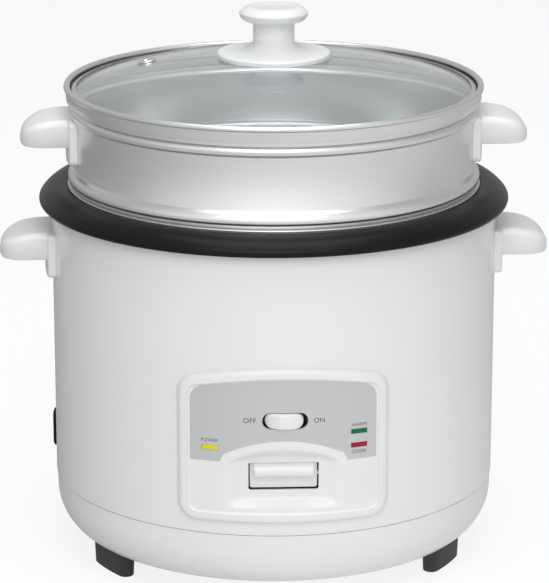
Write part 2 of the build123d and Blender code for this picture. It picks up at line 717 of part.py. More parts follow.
def panel_screws():
    inner = body_radius - shell_wall - head_gap(2.8)
    one = screw(2.8, 1.5, 1.3, shell_wall + 1.8)
    return [inward(inner, azimuth, height, one) for azimuth, height in panel_screw_places()]


def handle_screws(wall_radius, wall, top, head_height):
    one = screw(3.2, head_height, 1.4, wall + 7.5)
    return [inward(wall_radius - wall - head_gap(3.2), azimuth, height, one)
            for azimuth, height in handle_screw_places(wall_radius, top)]


rocker_pivot_y = -(body_radius - 4.0)


def rocker_button():
    """Rocker with a crown across its middle, drawn with its OFF end pressed."""
    half = rocker_length / 2
    front = -(body_radius + panel_relief)
    ends, ridge = front + 2.2, front - 1.9
    profile = make_face([
        Polyline((-half, ends), (-half + 1.0, front + 5.2), (-6, front + 5.2), (-5, front + 9.5),
                 (5, front + 9.5), (6, front + 5.2), (half - 1.0, front + 5.2), (half, ends)),
        ThreePointArc((half, ends), (half * 0.55, (ends + ridge) / 2 - 0.5), (1.5, ridge)),
        ThreePointArc((1.5, ridge), (0, ridge - 0.2), (-1.5, ridge)),
        ThreePointArc((-1.5, ridge), (-half * 0.55, (ends + ridge) / 2 - 0.5), (-half, ends))])
    body = Pos(0, 0, -rocker_width / 2) * extrude(profile, rocker_width)
    body &= Pos(0, front + 15, 0) * extrude(Plane.XZ * SlotOverall(rocker_length, rocker_width), 30)
    trunnion = Pos(0, rocker_pivot_y, 0) * Cylinder(1.2, rocker_width + 3.0)
    stem = block((-4.5, 4.5), (rocker_pivot_y - 3.0, rocker_pivot_y + 2.0),
                 (-rocker_width / 2 + 0.6, rocker_width / 2 - 0.6))
    body = body + stem + trunnion
    tilt = Pos(0, rocker_pivot_y, 0) * Rot(0, 0, -rocker_tilt) * Pos(0, -rocker_pivot_y, 0)
    return Pos(rocker_x, 0, rocker_z) * (tilt * body)


def rocker_housing():
    """Case of the power switch with the rocker's bearing holes and two blade terminals."""
    half, tall = rocker_length / 2 + 2.4, rocker_width / 2 + 2.2
    front, rear = rocker_pivot_y - 3.4, rocker_pivot_y + 6.5
    case = block((-half, half), (front, rear), (-tall, tall))
    case -= block((-half + 1.2, half - 1.2), (front - 1, rear - 1.5),
                  (-rocker_width / 2 - 0.3, rocker_width / 2 + 0.3))
    case -= Pos(0, rocker_pivot_y, 0) * Cylinder(1.2 + running_gap, 3 * tall)
    return Pos(rocker_x, 0, rocker_z) * case


def power_inlet():
    """Appliance inlet in the side wall: rounded flange, deep recess for the lead's connector."""
    out = body_radius + 4.0
    flange = Pos(0, -out, inlet_height) * extrude(
        Plane.XZ * RectangleRounded(inlet_width, inlet_tall, 4.0), 3.4, dir=(0, 1, 0))
    case = block((-12.4, 12.4), (-out + 1, -out + inlet_depth + 3), (inlet_height - 8.9, inlet_height + 8.9))
    hollow = Pos(0, -out - 1, inlet_height) * extrude(
        Plane.XZ * RectangleRounded(21.6, 14.6, 2.0), inlet_depth + 1, dir=(0, 1, 0))
    seat = disc(body_radius + fit_gap / 3, inlet_height - 20, inlet_height + 20)
    grip = flange - seat
    return turned(inlet_azimuth, grip + case - hollow)


def inlet_pins():
    """Three blades that stand in the recess and reach out of the back of the case."""
    out = body_radius + 4.0
    floor = -out + inlet_depth
    pins = []
    for x, dz in ((-7.0, -2.0), (0.0, 2.0), (7.0, -2.0)):
        z = inlet_height + dz
        blade = block((x - 1.0, x + 1.0), (floor - 8.5, floor), (z - 2.0, z + 2.0))
        pins.append(turned(inlet_azimuth, blade))
    return pins


def lid_dome_height(radius):
    """Height of the glass's outer surface at a distance from the axis."""
    top = dome_edge + dome_rise
    sphere = (glass_radius ** 2 + dome_rise ** 2) / (2 * dome_rise)
    return top - sphere + math.sqrt(sphere ** 2 - radius ** 2)


dome_edge = ledge_top + 4.2


def lid_glass():
    top = dome_edge + dome_rise
    sphere = (glass_radius ** 2 + dome_rise ** 2) / (2 * dome_rise)
    centre = top - sphere
    inner = sphere - glass_thickness
    low_edge = centre + math.sqrt(inner ** 2 - glass_radius ** 2)
    bore = 4.0

    def on(radius_of_sphere, r):
        return r, centre + math.sqrt(radius_of_sphere ** 2 - r ** 2)

    outline = make_face([
        ThreePointArc(on(sphere, bore), on(sphere, glass_radius / 2), (glass_radius, dome_edge)),
        Line((glass_radius, dome_edge), (glass_radius, low_edge)),
        ThreePointArc((glass_radius, low_edge), on(inner, glass_radius / 2), on(inner, bore)),
        Line(on(inner, bore), on(sphere, bore))])
    glass = revolve(Plane.XZ * outline, Axis.Z)
    return glass - at_vent(disc(4.1, -10, 10))


def at_vent(shape):
    """Place a shape on the dome at the steam vent, its +Z along the dome's normal."""
    sphere = (glass_radius ** 2 + dome_rise ** 2) / (2 * dome_rise)
    lean = math.degrees(math.asin(vent_distance / sphere))
    height = lid_dome_height(vent_distance)
    return turned(vent_azimuth, Pos(0, -vent_distance, height) * Rot(lean, 0, 0) * shape)


def steam_vent():
    """Metal eyelet riveted in the glass."""
    eyelet = tube(4.0, 2.2, -glass_thickness - 0.8, 0.3)
    eyelet += tube(5.6, 2.2, 0.1, 0.9)
    eyelet += tube(5.2, 2.2, -glass_thickness - 0.9, -glass_thickness - 0.2)
    return at_vent(eyelet)


def lid_band():
    """Metal band crimped round the edge of the glass; it rests on the steamer's ledge."""
    out = glass_radius + band_wall + 0.1
    inner = glass_radius + 0.1
    lip = glass_radius - 2.4
    over = lid_dome_height(lip) + 0.1
    edge = dome_edge + 0.15
    return lathe([(out, ledge_top), (out, edge + 0.2), (out - 0.5, edge + 0.75), (lip, over + band_wall),
                  (lip, over), (inner, edge), (inner, ledge_top + band_wall - 0.15),
                  (lip + 0.4, ledge_top + band_wall - 0.15), (lip + 0.4, ledge_top)])


def lid_knob():
    """Turned knob: wide foot that follows the glass, slim neck, mushroom cap."""
    seat = seat_gap
    foot_z = lid_dome_height(knob_foot_radius) + seat
    apex = lid_dome_height(0) + seat
    top = lid_dome_height(0) + knob_height
    neck, cap = knob_neck_radius, knob_radius
    outline = make_face([
        Line((2.4, apex), (2.4, apex + 14)),
        Line((2.4, apex + 14), (0, apex + 14)),
        Line((0, apex + 14), (0, top)),
        Line((0, top), (cap * 0.55, top)),
        ThreePointArc((cap * 0.55, top), (cap - 2.2, top - 1.1), (cap, top - 3.4)),
        ThreePointArc((cap, top - 3.4), (cap - 1.0, top - 6.2), (cap - 4.2, top - 8.0)),
        Line((cap - 4.2, top - 8.0), (neck, top - 9.4)),
        Line((neck, top - 9.4), (neck, foot_z + 8.0)),
        ThreePointArc((neck, foot_z + 8.0), (neck + 3.4, foot_z + 5.2), (neck + 9.5, foot_z + 4.0)),
        Line((neck + 9.5, foot_z + 4.0), (knob_foot_radius - 1.4, foot_z + 2.9)),
        ThreePointArc((knob_foot_radius - 1.4, foot_z + 2.9), (knob_foot_radius - 0.3, foot_z + 2.4),
                      (knob_foot_radius, foot_z + 1.4)),
        Line((knob_foot_radius, foot_z + 1.4), (knob_foot_radius, foot_z)),
        ThreePointArc((knob_foot_radius, foot_z), (16, lid_dome_height(16) + seat), (2.4, apex))])
    return revolve(Plane.XZ * outline, Axis.Z)


def knob_fixings():
    """Soft gasket and steel washer under the glass, and the screw up into the knob."""
    under = lid_dome_height(0) - glass_thickness - 0.2
    gasket = tube(9.0, 2.6, under - 1.2, under)
    washer = tube(8.0, 2.6, under - 2.2, under - 1.2)
    bolt = Pos(0, 0, under - 2.2) * Rot(180, 0, 0) * screw(4.2, 2.4, 2.2, 2.2 + glass_thickness + 14)
    return gasket, washer, bolt


def steamer_pan():
    """Wall of the drawn pan: step on the pot's rim, two beads, ledge for the lid, rolled rim."""
    t, wall = steamer_wall, steamer_radius
    step, ledge, top = pot_top, ledge_top, steamer_top
    collar, neck, throat = wall + 3.5, wall + 0.4, basket_radius - steamer_wall
    outer = [
        Polyline((throat, step), (wall + 0.9, step), (wall + 3.1, step + 2.8)),
        ThreePointArc((wall + 3.1, step + 2.8), (wall + 3.2, step + 5.0), (wall + 0.2, step + 9.3)),
        Polyline((wall + 0.2, step + 9.3), (wall, step + 9.8), (wall, ledge - 9.8)),
        ThreePointArc((wall, ledge - 9.8), (wall + 2.4, ledge - 6.7), (neck, ledge - 3.6)),
        Polyline((neck, ledge - 3.6), (neck, ledge - t), (collar, ledge - t), (collar + 0.4, top - 3.1)),
        ThreePointArc((collar + 0.4, top - 3.1), (collar + 1.4, top - 1.5), (collar - 0.3, top)),
        ThreePointArc((collar - 0.3, top), (collar - 2.0, top - 1.5), (collar - t, top - 3.0))]
    inner = [
        Polyline((collar - t, top - 3.0), (collar - t, ledge), (neck - t, ledge), (neck - t, ledge - 3.9)),
        ThreePointArc((neck - t, ledge - 3.9), (wall + 1.7, ledge - 6.7), (wall - t, ledge - 10.1)),
        Polyline((wall - t, ledge - 10.1), (wall - t, step + 9.7), (wall - 0.5, step + 9.0)),
        ThreePointArc((wall - 0.5, step + 9.0), (wall + 2.5, step + 4.9), (wall + 2.4, step + 3.1)),
        Polyline((wall + 2.4, step + 3.1), (wall + 0.6, step + t), (throat, step + t), (throat, step))]
    pan = revolve(Plane.XZ * make_face(outer + inner), Axis.Z)
    for azimuth, height in handle_screw_places(wall, steamer_handle_top):
        pan -= outward(wall, azimuth, height, disc(1.6, -4, 4))
    return pan


def steamer_basket():
    """Lower part of the drawn pan, which hangs inside the pot: skirt and perforated floor."""
    out, under = basket_radius, steamer_floor_under
    basket = lathe([(0, under), (out, under), (out, pot_top), (out - steamer_wall, pot_top),
                    (out - steamer_wall, under + steamer_wall), (0, under + steamer_wall)],
                   [(1, 12.0), (4, 12.0 - steamer_wall)])
    holes = []
    for ring in range(hole_rings):
        count = max(1, 6 * ring)
        for k in range(count):
            holes.append(turned(360.0 * k / count, Pos(0, -ring * hole_pitch, 0)
                                * disc(hole_radius, under - 1, under + 2)))
    return basket - holes


warm_x, warm_y = -62.0, 12.0
fuse_x, fuse_y = 58.0, 10.0


def keep_warm_thermostat():
    """Bimetal disc switch clipped under the liner's floor."""
    can = disc(8.0, liner_under - 6, liner_under) + disc(6.5, liner_under - 11, liner_under - 6)
    for side in (-1, 1):
        can += block(sorted((side * 5, side * 12)), (-2.5, 2.5), (liner_under - 10, liner_under - 9))
    can = Pos(warm_x, warm_y, 0) * can
    can += block((warm_x - 4.2, warm_x + 4.2), (warm_y + 6, warm_y + 11),
                 (liner_under - frame_wall, liner_under))
    can += lug(warm_x, warm_y + 11, liner_under - frame_wall)
    return can - Pos(warm_x, warm_y + 11) * disc(1.6, liner_under - 3, liner_under + 1)


def thermal_fuse():
    """Fuse in its sleeve, strapped under the liner's floor."""
    body = Rot(0, 90, 0) * Cylinder(2.2, 14) + Rot(0, 90, 0) * Cylinder(0.6, 30)
    clip = tube(3.2, 2.0, -2.5, 2.5)
    body = Pos(fuse_x, fuse_y, liner_under - 3.2) * (body + Rot(0, 90, 0) * clip)
    body += block((fuse_x - 2.5, fuse_x + 2.5), (fuse_y + 1, fuse_y + 6),
                  (liner_under - frame_wall, liner_under))
    body += lug(fuse_x, fuse_y + 8.5, liner_under - frame_wall)
    return body - Pos(fuse_x, fuse_y + 8.5) * disc(1.6, liner_under - 3, liner_under + 1)


def terminal_block():
    """Ceramic block where the leads of inlet, switch and heating element meet."""
    half = block_length / 2
    body = block((-half, half), (-block_width / 2, block_width / 2), (0, block_width))
    for place in (-3, -1, 1, 3):
        body -= Pos(place * half / 4.4, 0, 0) * (
            disc(2.6, block_width - 6, block_width + 1) + disc(1.2, 4, block_width - 5))
    return Pos(block_x, block_y, base_plate_top + 3) * body


save("top_ring", top_ring())
save("outer_shell", outer_shell())
save("base_ring", base_ring())
save("base_plate", base_plate())
for name, azimuth in zip(("foot_left", "foot_right", "foot_rear"), foot_azimuths):
    save(name, turned(azimuth, foot()))
save("foot_screws", *foot_screws())
save("tie_posts", *tie_posts())
save("base_screws", *base_screws())
save("inner_liner", inner_liner())
save("heating_plate", heating_plate())
save("heater_spacers", *heater_spacers())
save("heater_screws", *heater_screws())
save("heater_terminals", *heater_terminals())
save("inner_pot", inner_pot())

save("sensor_cup", sensor_cup())
save("ferrite_disc", disc(sensor_tube_radius - 1.2, ferrite_under, ferrite_top))
save("sensor_spring", coil(14.8, 1.4, frame_top, ferrite_top, 5))
save("magnet", disc(magnet_radius, carrier_top, magnet_top))
save("magnet_rod", magnet_rod())
save("magnet_spring", coil(10.3, 0.9, carrier_top, ferrite_under, 4))
save("thermostat_frame", thermostat_frame())
save("frame_screws", *frame_screws())
save("lever_arm", lever_arm())
save("lever_pin", lever_pin())
save("lever_bracket", lever_bracket())
save("micro_switch", micro_switch())
save("switch_plunger", switch_plunger())
save("cook_key", cook_key())
save("keep_warm_thermostat", keep_warm_thermostat())
save("thermal_fuse", thermal_fuse())
save("terminal_block", terminal_block())

save("control_panel", control_panel())
save("panel_fascia", panel_fascia())
for x, z, name in lamps:
    save("lamp_" + name, lamp(x, z))
save("lamp_bulbs", *lamp_bulbs())
save("panel_screws", *panel_screws())
save("rocker_button", rocker_button())
save("rocker_housing", rocker_housing())

body_handle = handle(body_radius, body_handle_top)
save("body_handle_right", body_handle)
save("body_handle_left", turned(180, body_handle))
save("body_handle_screws", *handle_screws(body_radius, shell_wall, body_handle_top, 2.0))
steamer_handle = handle(steamer_radius, steamer_handle_top)
save("steamer_handle_right", steamer_handle)
save("steamer_handle_left", turned(180, steamer_handle))
save("steamer_handle_screws", *handle_screws(steamer_radius, steamer_wall, steamer_handle_top, 1.2))
save("steamer_pan", steamer_pan())
save("steamer_basket", steamer_basket())

save("power_inlet", power_inlet())
save("inlet_pins", *inlet_pins())

save("lid_glass", lid_glass())
save("lid_band", lid_band())
save("steam_vent", steam_vent())
save("lid_knob", lid_knob())
gasket, washer, bolt = knob_fixings()
save("knob_gasket", gasket)
save("knob_washer", washer)
save("knob_screw", bolt)

print("pot floor %.2f, plate top %.2f, liner floor %.2f" % (pot_bottom, plate_top, liner_top))
print("magnet stroke %.3f, plunger stroke %.3f" % (magnet_stroke, plunger_stroke))
print("steamer top %.2f, lid seat %.2f" % (steamer_top, ledge_top))
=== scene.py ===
import cmath
import json
import math

import bmesh
import bpy
from mathutils import Matrix, Vector


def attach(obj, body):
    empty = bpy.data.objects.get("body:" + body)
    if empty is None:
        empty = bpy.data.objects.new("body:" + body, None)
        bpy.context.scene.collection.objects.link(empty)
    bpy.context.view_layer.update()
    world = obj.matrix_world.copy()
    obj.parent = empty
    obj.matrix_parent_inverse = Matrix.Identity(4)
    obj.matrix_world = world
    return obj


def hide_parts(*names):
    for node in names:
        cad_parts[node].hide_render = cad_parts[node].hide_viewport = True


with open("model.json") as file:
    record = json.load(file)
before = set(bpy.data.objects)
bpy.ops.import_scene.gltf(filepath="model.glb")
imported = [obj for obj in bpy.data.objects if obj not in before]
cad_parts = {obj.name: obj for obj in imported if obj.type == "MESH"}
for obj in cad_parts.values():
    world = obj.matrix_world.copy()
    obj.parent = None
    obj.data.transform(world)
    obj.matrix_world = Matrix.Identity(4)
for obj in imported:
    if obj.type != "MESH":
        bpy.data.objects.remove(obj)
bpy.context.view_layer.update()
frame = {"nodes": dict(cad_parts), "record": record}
print("frame loaded:", len(frame["nodes"]), "nodes")

scene = bpy.context.scene
mm = 0.001
weld = 0.0005    # in millimetres: points nearer than this become one

# Camera: the photograph's own view, 16 degrees down and a little to the left of the panel

cameraView = {
    "place": (-0.0728, -1.6784, 0.6275),
    "direction": (0.0419, 0.9604, -0.2756),
    "lens": 189.6,
    "sensor": 36.0,
}
cameraData = bpy.data.cameras.new("photoCamera")
cameraData.lens = cameraView["lens"]
cameraData.sensor_width = cameraView["sensor"]
cameraData.clip_start = 0.05
cameraData.clip_end = 30.0
camera = bpy.data.objects.new("photoCamera", cameraData)
scene.collection.objects.link(camera)
camera.location = cameraView["place"]
camera.rotation_euler = Vector(cameraView["direction"]).to_track_quat("-Z", "Y").to_euler()
scene.camera = camera
scene.view_settings.view_transform = "Standard"


# Shader maths: a wrapped socket adds its nodes when it is used in an expression

class Wire:
    def __init__(self, tree, socket):
        self.tree = tree
        self.socket = socket

    def make(self, kind, settings=None, inputs=None, output=0):
        node = self.tree.nodes.new(kind)
        for name, value in (settings or {}).items():
            if name == "stops":
                for element, (place, colour) in zip(node.color_ramp.elements, value):
                    element.position = place
                    element.color = (*colour, 1.0)
            else:
                setattr(node, name, value)
        for name, value in (inputs or {}).items():
            self.feed(node.inputs[name], value)
        return Wire(self.tree, node.outputs[output])

    def feed(self, target, value):
        if isinstance(value, Wire):
            self.tree.links.new(value.socket, target)
        elif target.type == "RGBA":
            target.default_value = (*value, 1.0)
        else:
            target.default_value = value

    def join(self, operation, first, second):
        kinds = {value.socket.type for value in (first, second) if isinstance(value, Wire)}
        kind = "ShaderNodeVectorMath" if "VECTOR" in kinds else "ShaderNodeMath"
        return self.make(kind, {"operation": operation}, {0: first, 1: second})

    def __add__(self, other):
        return self.join("ADD", self, other)

    def __rsub__(self, other):
        return self.join("SUBTRACT", other, self)

    def __mul__(self, other):
        return self.join("MULTIPLY", self, other)

    def maths(self, operation, other=0.0):
        return self.make("ShaderNodeMath", {"operation": operation}, {0: self, 1: other})

    def part(self, axis):
        return self.make("ShaderNodeSeparateXYZ", None, {0: self}, "XYZ".index(axis))

    def noise(self, scale, detail=2.0, roughness=0.5):
        return self.make("ShaderNodeTexNoise", None,
                         {"Vector": self, "Scale": scale, "Detail": detail, "Roughness": roughness})

    def ramp(self, stops):
        return self.make("ShaderNodeValToRGB", {"stops": stops}, {0: self})

    def bump(self, strength, distance):
        return self.make("ShaderNodeBump", None,
                         {"Strength": strength, "Distance": distance, "Height": self})


def newMaterial(name, fixed):
    # place is the object's own coordinates, the start of every pattern
    material = bpy.data.materials.new(name)
    material.use_nodes = True
    shader = material.node_tree.nodes["Principled BSDF"]
    start = Wire(material.node_tree, None)
    for socket, value in fixed.items():
        start.feed(shader.inputs[socket], value)
    place = start.make("ShaderNodeTexCoord", None, None, 3)
    return material, shader, place


def shaded(colour, share):
    return [c * share for c in colour]


def mouldedPlastic(name, colour, roughness, grain, coat=0.0, shine=0.5):
    # moulded plastic: faint cloudiness, a fine skin and a slightly uneven gloss
    material, shader, place = newMaterial(name, {"Coat Weight": coat, "Coat Roughness": 0.08,
                                                 "Specular IOR Level": shine})
    cloud = place.noise(18.0, 3.0)
    place.feed(shader.inputs["Base Color"], cloud.ramp([(0.35, shaded(colour, 0.975)), (0.65, colour)]))
    place.feed(shader.inputs["Roughness"], place.noise(60.0) * 0.06 + (roughness - 0.03))
    place.feed(shader.inputs["Normal"], place.noise(1400.0, 1.0).bump(grain, 0.0001))
    return material


def enamel(name, colour):
    # painted sheet: gloss coat over a very slight orange peel
    material, shader, place = newMaterial(name, {"Coat Weight": 0.35, "Coat Roughness": 0.05})
    cloud = place.noise(9.0, 2.0)
    place.feed(shader.inputs["Base Color"], cloud.ramp([(0.3, shaded(colour, 0.985)), (0.7, colour)]))
    place.feed(shader.inputs["Roughness"], place.noise(40.0) * 0.05 + 0.20)
    place.feed(shader.inputs["Normal"], place.noise(160.0, 1.0).bump(0.04, 0.0004))
    return material


def turnedMetal(name, colour, roughness, lines, streaks=0.10):
    # spun or turned sheet: fine rings round the axis, so the pattern varies along Z and the radius only
    material, shader, place = newMaterial(name, {"Metallic": 1.0})
    level = place * (1.0, 1.0, 0.0)
    radius = level.make("ShaderNodeVectorMath", {"operation": "LENGTH"}, {0: level}, 1)
    ring =place.make("ShaderNodeCombineXYZ", None, {0: radius, 1: place.part("Z"), 2: 0.0})
    fine = ring.noise(lines, 3.0, 0.7)
    broad = place.noise(7.0, 2.0)
    shade = fine * streaks + broad * 0.05 + (1.0 - streaks / 2 - 0.05)
    tint = shade.make("ShaderNodeMix", {"data_type": "RGBA", "blend_type": "MULTIPLY"},
                      {0: 1.0, 6: colour, 7: shade}, 2)
    place.feed(shader.inputs["Base Color"], tint)
    place.feed(shader.inputs["Roughness"], fine * 0.06 + broad * 0.04 + (roughness - 0.05))
    place.feed(shader.inputs["Normal"], fine.bump(streaks * 0.3, 0.0002))
    return material


def plainMetal(name, colour, roughness, scale=120.0):
    material, shader, place = newMaterial(name, {"Metallic": 1.0})
    cloud = place.noise(scale, 3.0)
    place.feed(shader.inputs["Base Color"], cloud.ramp([(0.3, shaded(colour, 0.86)), (0.7, colour)]))
    place.feed(shader.inputs["Roughness"], cloud * 0.16 + (roughness - 0.08))
    place.feed(shader.inputs["Normal"], place.noise(scale * 9).bump(0.08, 0.0002))
    return material


def silverPaint(name, colour):
    # satin plate with a very fine flake
    material, shader, place = newMaterial(name, {})
    flake = place.noise(5200.0, 1.0)
    place.feed(shader.inputs["Base Color"], flake.ramp([(0.35, shaded(colour, 0.90)), (0.7, colour)]))
    place.feed(shader.inputs["Metallic"], flake * 0.1 + 0.35)
    place.feed(shader.inputs["Roughness"], flake * 0.12 + 0.34)
    place.feed(shader.inputs["Normal"], flake.bump(0.06, 0.0001))
    return material


def clearGlass(name, tint):
    # tempered glass; light passes straight through for shadows, so what is under it stays lit
    material, shader, place = newMaterial(name, {"Transmission Weight": 1.0, "IOR": 1.47,
                                                 "Base Color": tint})
    place.feed(shader.inputs["Roughness"], place.noise(30.0) * 0.01)
    tree = material.node_tree
    through = tree.nodes.new("ShaderNodeBsdfTransparent")
    through.inputs["Color"].default_value = (*[0.5 + 0.5 * c for c in tint], 1.0)
    mix = tree.nodes.new("ShaderNodeMixShader")
    place.feed(mix.inputs[0], place.make("ShaderNodeLightPath", None, None, "Is Shadow Ray"))
    tree.links.new(shader.outputs[0], mix.inputs[1])
    tree.links.new(through.outputs[0], mix.inputs[2])
    tree.links.new(mix.outputs[0], tree.nodes["Material Output"].inputs["Surface"])
    return material


def lampLens(name, colour):
    # dyed lens with fine upright ribs on its back, seen as a faint stripe
    material, shader, place = newMaterial(name, {"Specular IOR Level": 0.3})
    rib = place.make("ShaderNodeTexWave", {"wave_type": "BANDS", "bands_direction": "X"},
                     {"Vector": place, "Scale": 260.0, "Distortion": 0.0})
    place.feed(shader.inputs["Base Color"], rib.ramp([(0.2, shaded(colour, 0.85)), (0.8, colour)]))
    place.feed(shader.inputs["Roughness"], place.noise(90.0) * 0.08 + 0.20)
    return material


def printedInk(name, colour):
    material, shader, place = newMaterial(name, {})
    speckle = place.noise(900.0)
    place.feed(shader.inputs["Base Color"], speckle.ramp([(0.3, colour), (0.8, shaded(colour, 1.5))]))
    place.feed(shader.inputs["Roughness"], place.noise(300.0) * 0.1 + 0.45)
    return material


finishes = {
    "white_plastic": mouldedPlastic("whitePlastic", (0.80, 0.81, 0.82), 0.30, 0.05, 0.15),
    "white_sheet": enamel("whiteEnamel", (0.80, 0.81, 0.82)),
    "black_plastic": mouldedPlastic("blackPlastic", (0.006, 0.0057, 0.0057), 0.33, 0.06, 0.0, 0.15),
    "dark_rubber": mouldedPlastic("footRubber", (0.030, 0.030, 0.030), 0.60, 0.30),
    "silver_fascia": silverPaint("silverPaint", (0.60, 0.61, 0.62)),
    "steamer_metal": turnedMetal("spunAluminium", (0.75, 0.75, 0.76), 0.30, 260.0, 0.03),
    "pot_metal": turnedMetal("potAluminium", (0.70, 0.70, 0.71), 0.34, 300.0),
    "cast_metal": turnedMetal("machinedCasting", (0.55, 0.55, 0.56), 0.42, 260.0, 0.25),
    "liner_metal": turnedMetal("drawnLiner", (0.62, 0.62, 0.63), 0.36, 160.0),
    "steel": plainMetal("zincedSteel", (0.55, 0.56, 0.58), 0.38),
    "band_steel": turnedMetal("polishedBand", (0.72, 0.73, 0.75), 0.16, 500.0, 0.04),
    "magnet_ferrite": mouldedPlastic("ferrite", (0.05, 0.05, 0.055), 0.55, 0.4),
    "brass_terminal": plainMetal("terminalBrass", (0.72, 0.53, 0.24), 0.34),
    "clear_glass": clearGlass("temperedGlass", (0.93, 0.965, 0.96)),
    "lamp_yellow": lampLens("yellowLens", (0.76, 0.70, 0.012)),
    "lamp_green": lampLens("greenLens", (0.003, 0.15, 0.05)),
    "lamp_red": lampLens("redLens", (0.36, 0.006, 0.022)),
    "bulb_glass": clearGlass("bulbGlass", (0.98, 0.85, 0.75)),
    "ceramic": mouldedPlastic("glazedCeramic", (0.80, 0.78, 0.72), 0.35, 0.1, 0.2),
    "switch_plastic": mouldedPlastic("switchPlastic", (0.05, 0.05, 0.055), 0.45, 0.2),
    "gasket_rubber": mouldedPlastic("paleSilicone", (0.52, 0.52, 0.50), 0.55, 0.2),
}
ink = printedInk("wordInk", (0.035, 0.036, 0.038))
print("materials made:", len(finishes) + 1)

# CAD nodes keep their shape and take the finish of their slot
for subpart in frame["record"]["subparts"]:
    node = frame["nodes"][subpart["node"]]
    node.data.materials.clear()
    node.data.materials.append(finishes[subpart["material_slot"]])
slotOf = {subpart["node"]: subpart["material_slot"] for subpart in frame["record"]["subparts"]}
bodyOf = {node: body for body, nodes in frame["record"]["behaviour"]["bodies"].items() for node in nodes}


# Mesh helpers. Shapes are drawn in millimetres and brought to metres when the piece is finished.

def finishPiece(name, bm, node=None, slot=None, body=None, material=None, sharp=38.0):
    bmesh.ops.remove_doubles(bm, verts=bm.verts, dist=weld)
    bmesh.ops.recalc_face_normals(bm, faces=bm.faces)
    bmesh.ops.scale(bm, vec=(mm, mm, mm), verts=bm.verts)
    mesh = bpy.data.meshes.new(name)
    bm.to_mesh(mesh)
    bm.free()
    for polygon in mesh.polygons:
        polygon.use_smooth = True
    mesh.set_sharp_from_angle(angle=math.radians(sharp))
    piece = bpy.data.objects.new(name, mesh)
    scene.collection.objects.link(piece)
    slot = slot or slotOf[node]
    mesh.materials.append(material or finishes[slot])
    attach(piece, body or bodyOf[node])
    if node:
        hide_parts(node)
    return piece


def traced(entries, steps=10):
    # outline points; an entry of two points is an arc through the first of them to the second
    outline = []
    for entry in entries:
        if not isinstance(entry[0], tuple):
            outline.append(entry)
            continue
        start, middle, end = (complex(*point[:2]) for point in (outline[-1], *entry))
        turn = (end - start) / (middle - start)
        centre = start + (middle - start) * (turn - abs(turn) ** 2) / (2j * turn.imag)
        sweep = sum(cmath.phase((b - centre) / (a - centre)) for a, b in ((start, middle), (middle, end)))
        for step in range(1, steps + 1):
            point = centre + (start - centre) * cmath.exp(1j * sweep * step / steps)
            outline.append((point.real, point.imag))
    return outline


def flatFace(points, lift=lambda a, b: (a, 0.0, b), segments=6):
    # n-gon from (a, b) or (a, b, reach) points; reach is how far a corner's round goes along its edges
    bm = bmesh.new()
    verts = [bm.verts.new(lift(*point[:2])) for point in points]
    bm.faces.new(verts)
    for vert, point in zip(verts, points):
        if len(point) > 2:
            bmesh.ops.bevel(bm, geom=[vert], offset=point[2], offset_type="OFFSET", segments=segments,
                            profile=0.5, affect="VERTICES", clamp_overlap=True, material=-1)
    return bm


def rectangle(half, low, high, lower, upper):
    # outline with a round of its own at the lower and the upper corners
    return [(-half, low, lower), (half, low, lower), (half, high, upper), (-half, high, upper)]


def spun(bm, steps):
    # turns the edges of an outline once round the cooker's axis
    bmesh.ops.spin(bm, geom=bm.verts[:] + bm.edges[:], cent=(0, 0, 0), axis=(0, 0, 1), dvec=(0, 0, 0),
                   angle=2 * math.pi, steps=steps, use_merge=True, use_duplicate=False)
    bmesh.ops.remove_doubles(bm, verts=bm.verts, dist=weld)
    return bm


def turnedSolid(points, steps=192, segments=6):
    # closed (r, z) outline spun round the cooker's axis
    bm = flatFace(points, segments=segments)
    bmesh.ops.delete(bm, geom=bm.faces[:], context="FACES_ONLY")
    spun(bm, steps)
    bmesh.ops.recalc_face_normals(bm, faces=bm.faces)
    return bm


def addCylinder(bm, radius, depth, segments, place):
    bmesh.ops.create_cone(bm, cap_ends=True, segments=segments, radius1=radius, radius2=radius, depth=depth,
                          matrix=place)


def swung(bm, degrees):
    # turned round the cooker's axis to its place
    bmesh.ops.rotate(bm, verts=bm.verts, cent=(0, 0, 0),
                     matrix=Matrix.Rotation(math.radians(degrees), 3, "Z"))
    return bm


def largestFace(bm):
    return max(bm.faces, key=lambda face: face.calc_area())


def frontEdges(bm, front):
    # edges of a flat front at y = front; what lies further back is left out
    return [edge for edge in bm.edges if max(vert.co.y for vert in edge.verts) < front + 0.1]


def pulled(bm, direction):
    # thickens the face of a flat bmesh into a prism
    made = bmesh.ops.extrude_face_region(bm, geom=bm.faces[:])
    moved = [g for g in made["geom"] if isinstance(g, bmesh.types.BMVert)]
    bmesh.ops.translate(bm, vec=direction, verts=moved)
    bmesh.ops.recalc_face_normals(bm, faces=bm.faces)
    return bm


def softened(bm, edges, reach, segments):
    bmesh.ops.bevel(bm, geom=edges, offset=reach, offset_type="OFFSET", segments=segments, profile=0.5,
                    affect="EDGES", clamp_overlap=True, material=-1)
    return bm


def cut(bm, axis, places):
    # slices a mesh at the given places along X, Y or Z, so that it can bend
    normal = Vector([float(axis == letter) for letter in "XYZ"])
    for place in places:
        bmesh.ops.bisect_plane(bm, geom=bm.verts[:] + bm.edges[:] + bm.faces[:], dist=0.0001,
                               plane_co=normal * place, plane_no=normal)
    return bm


def row(start, pitch, count):
    return [start + pitch * step for step in range(count)]


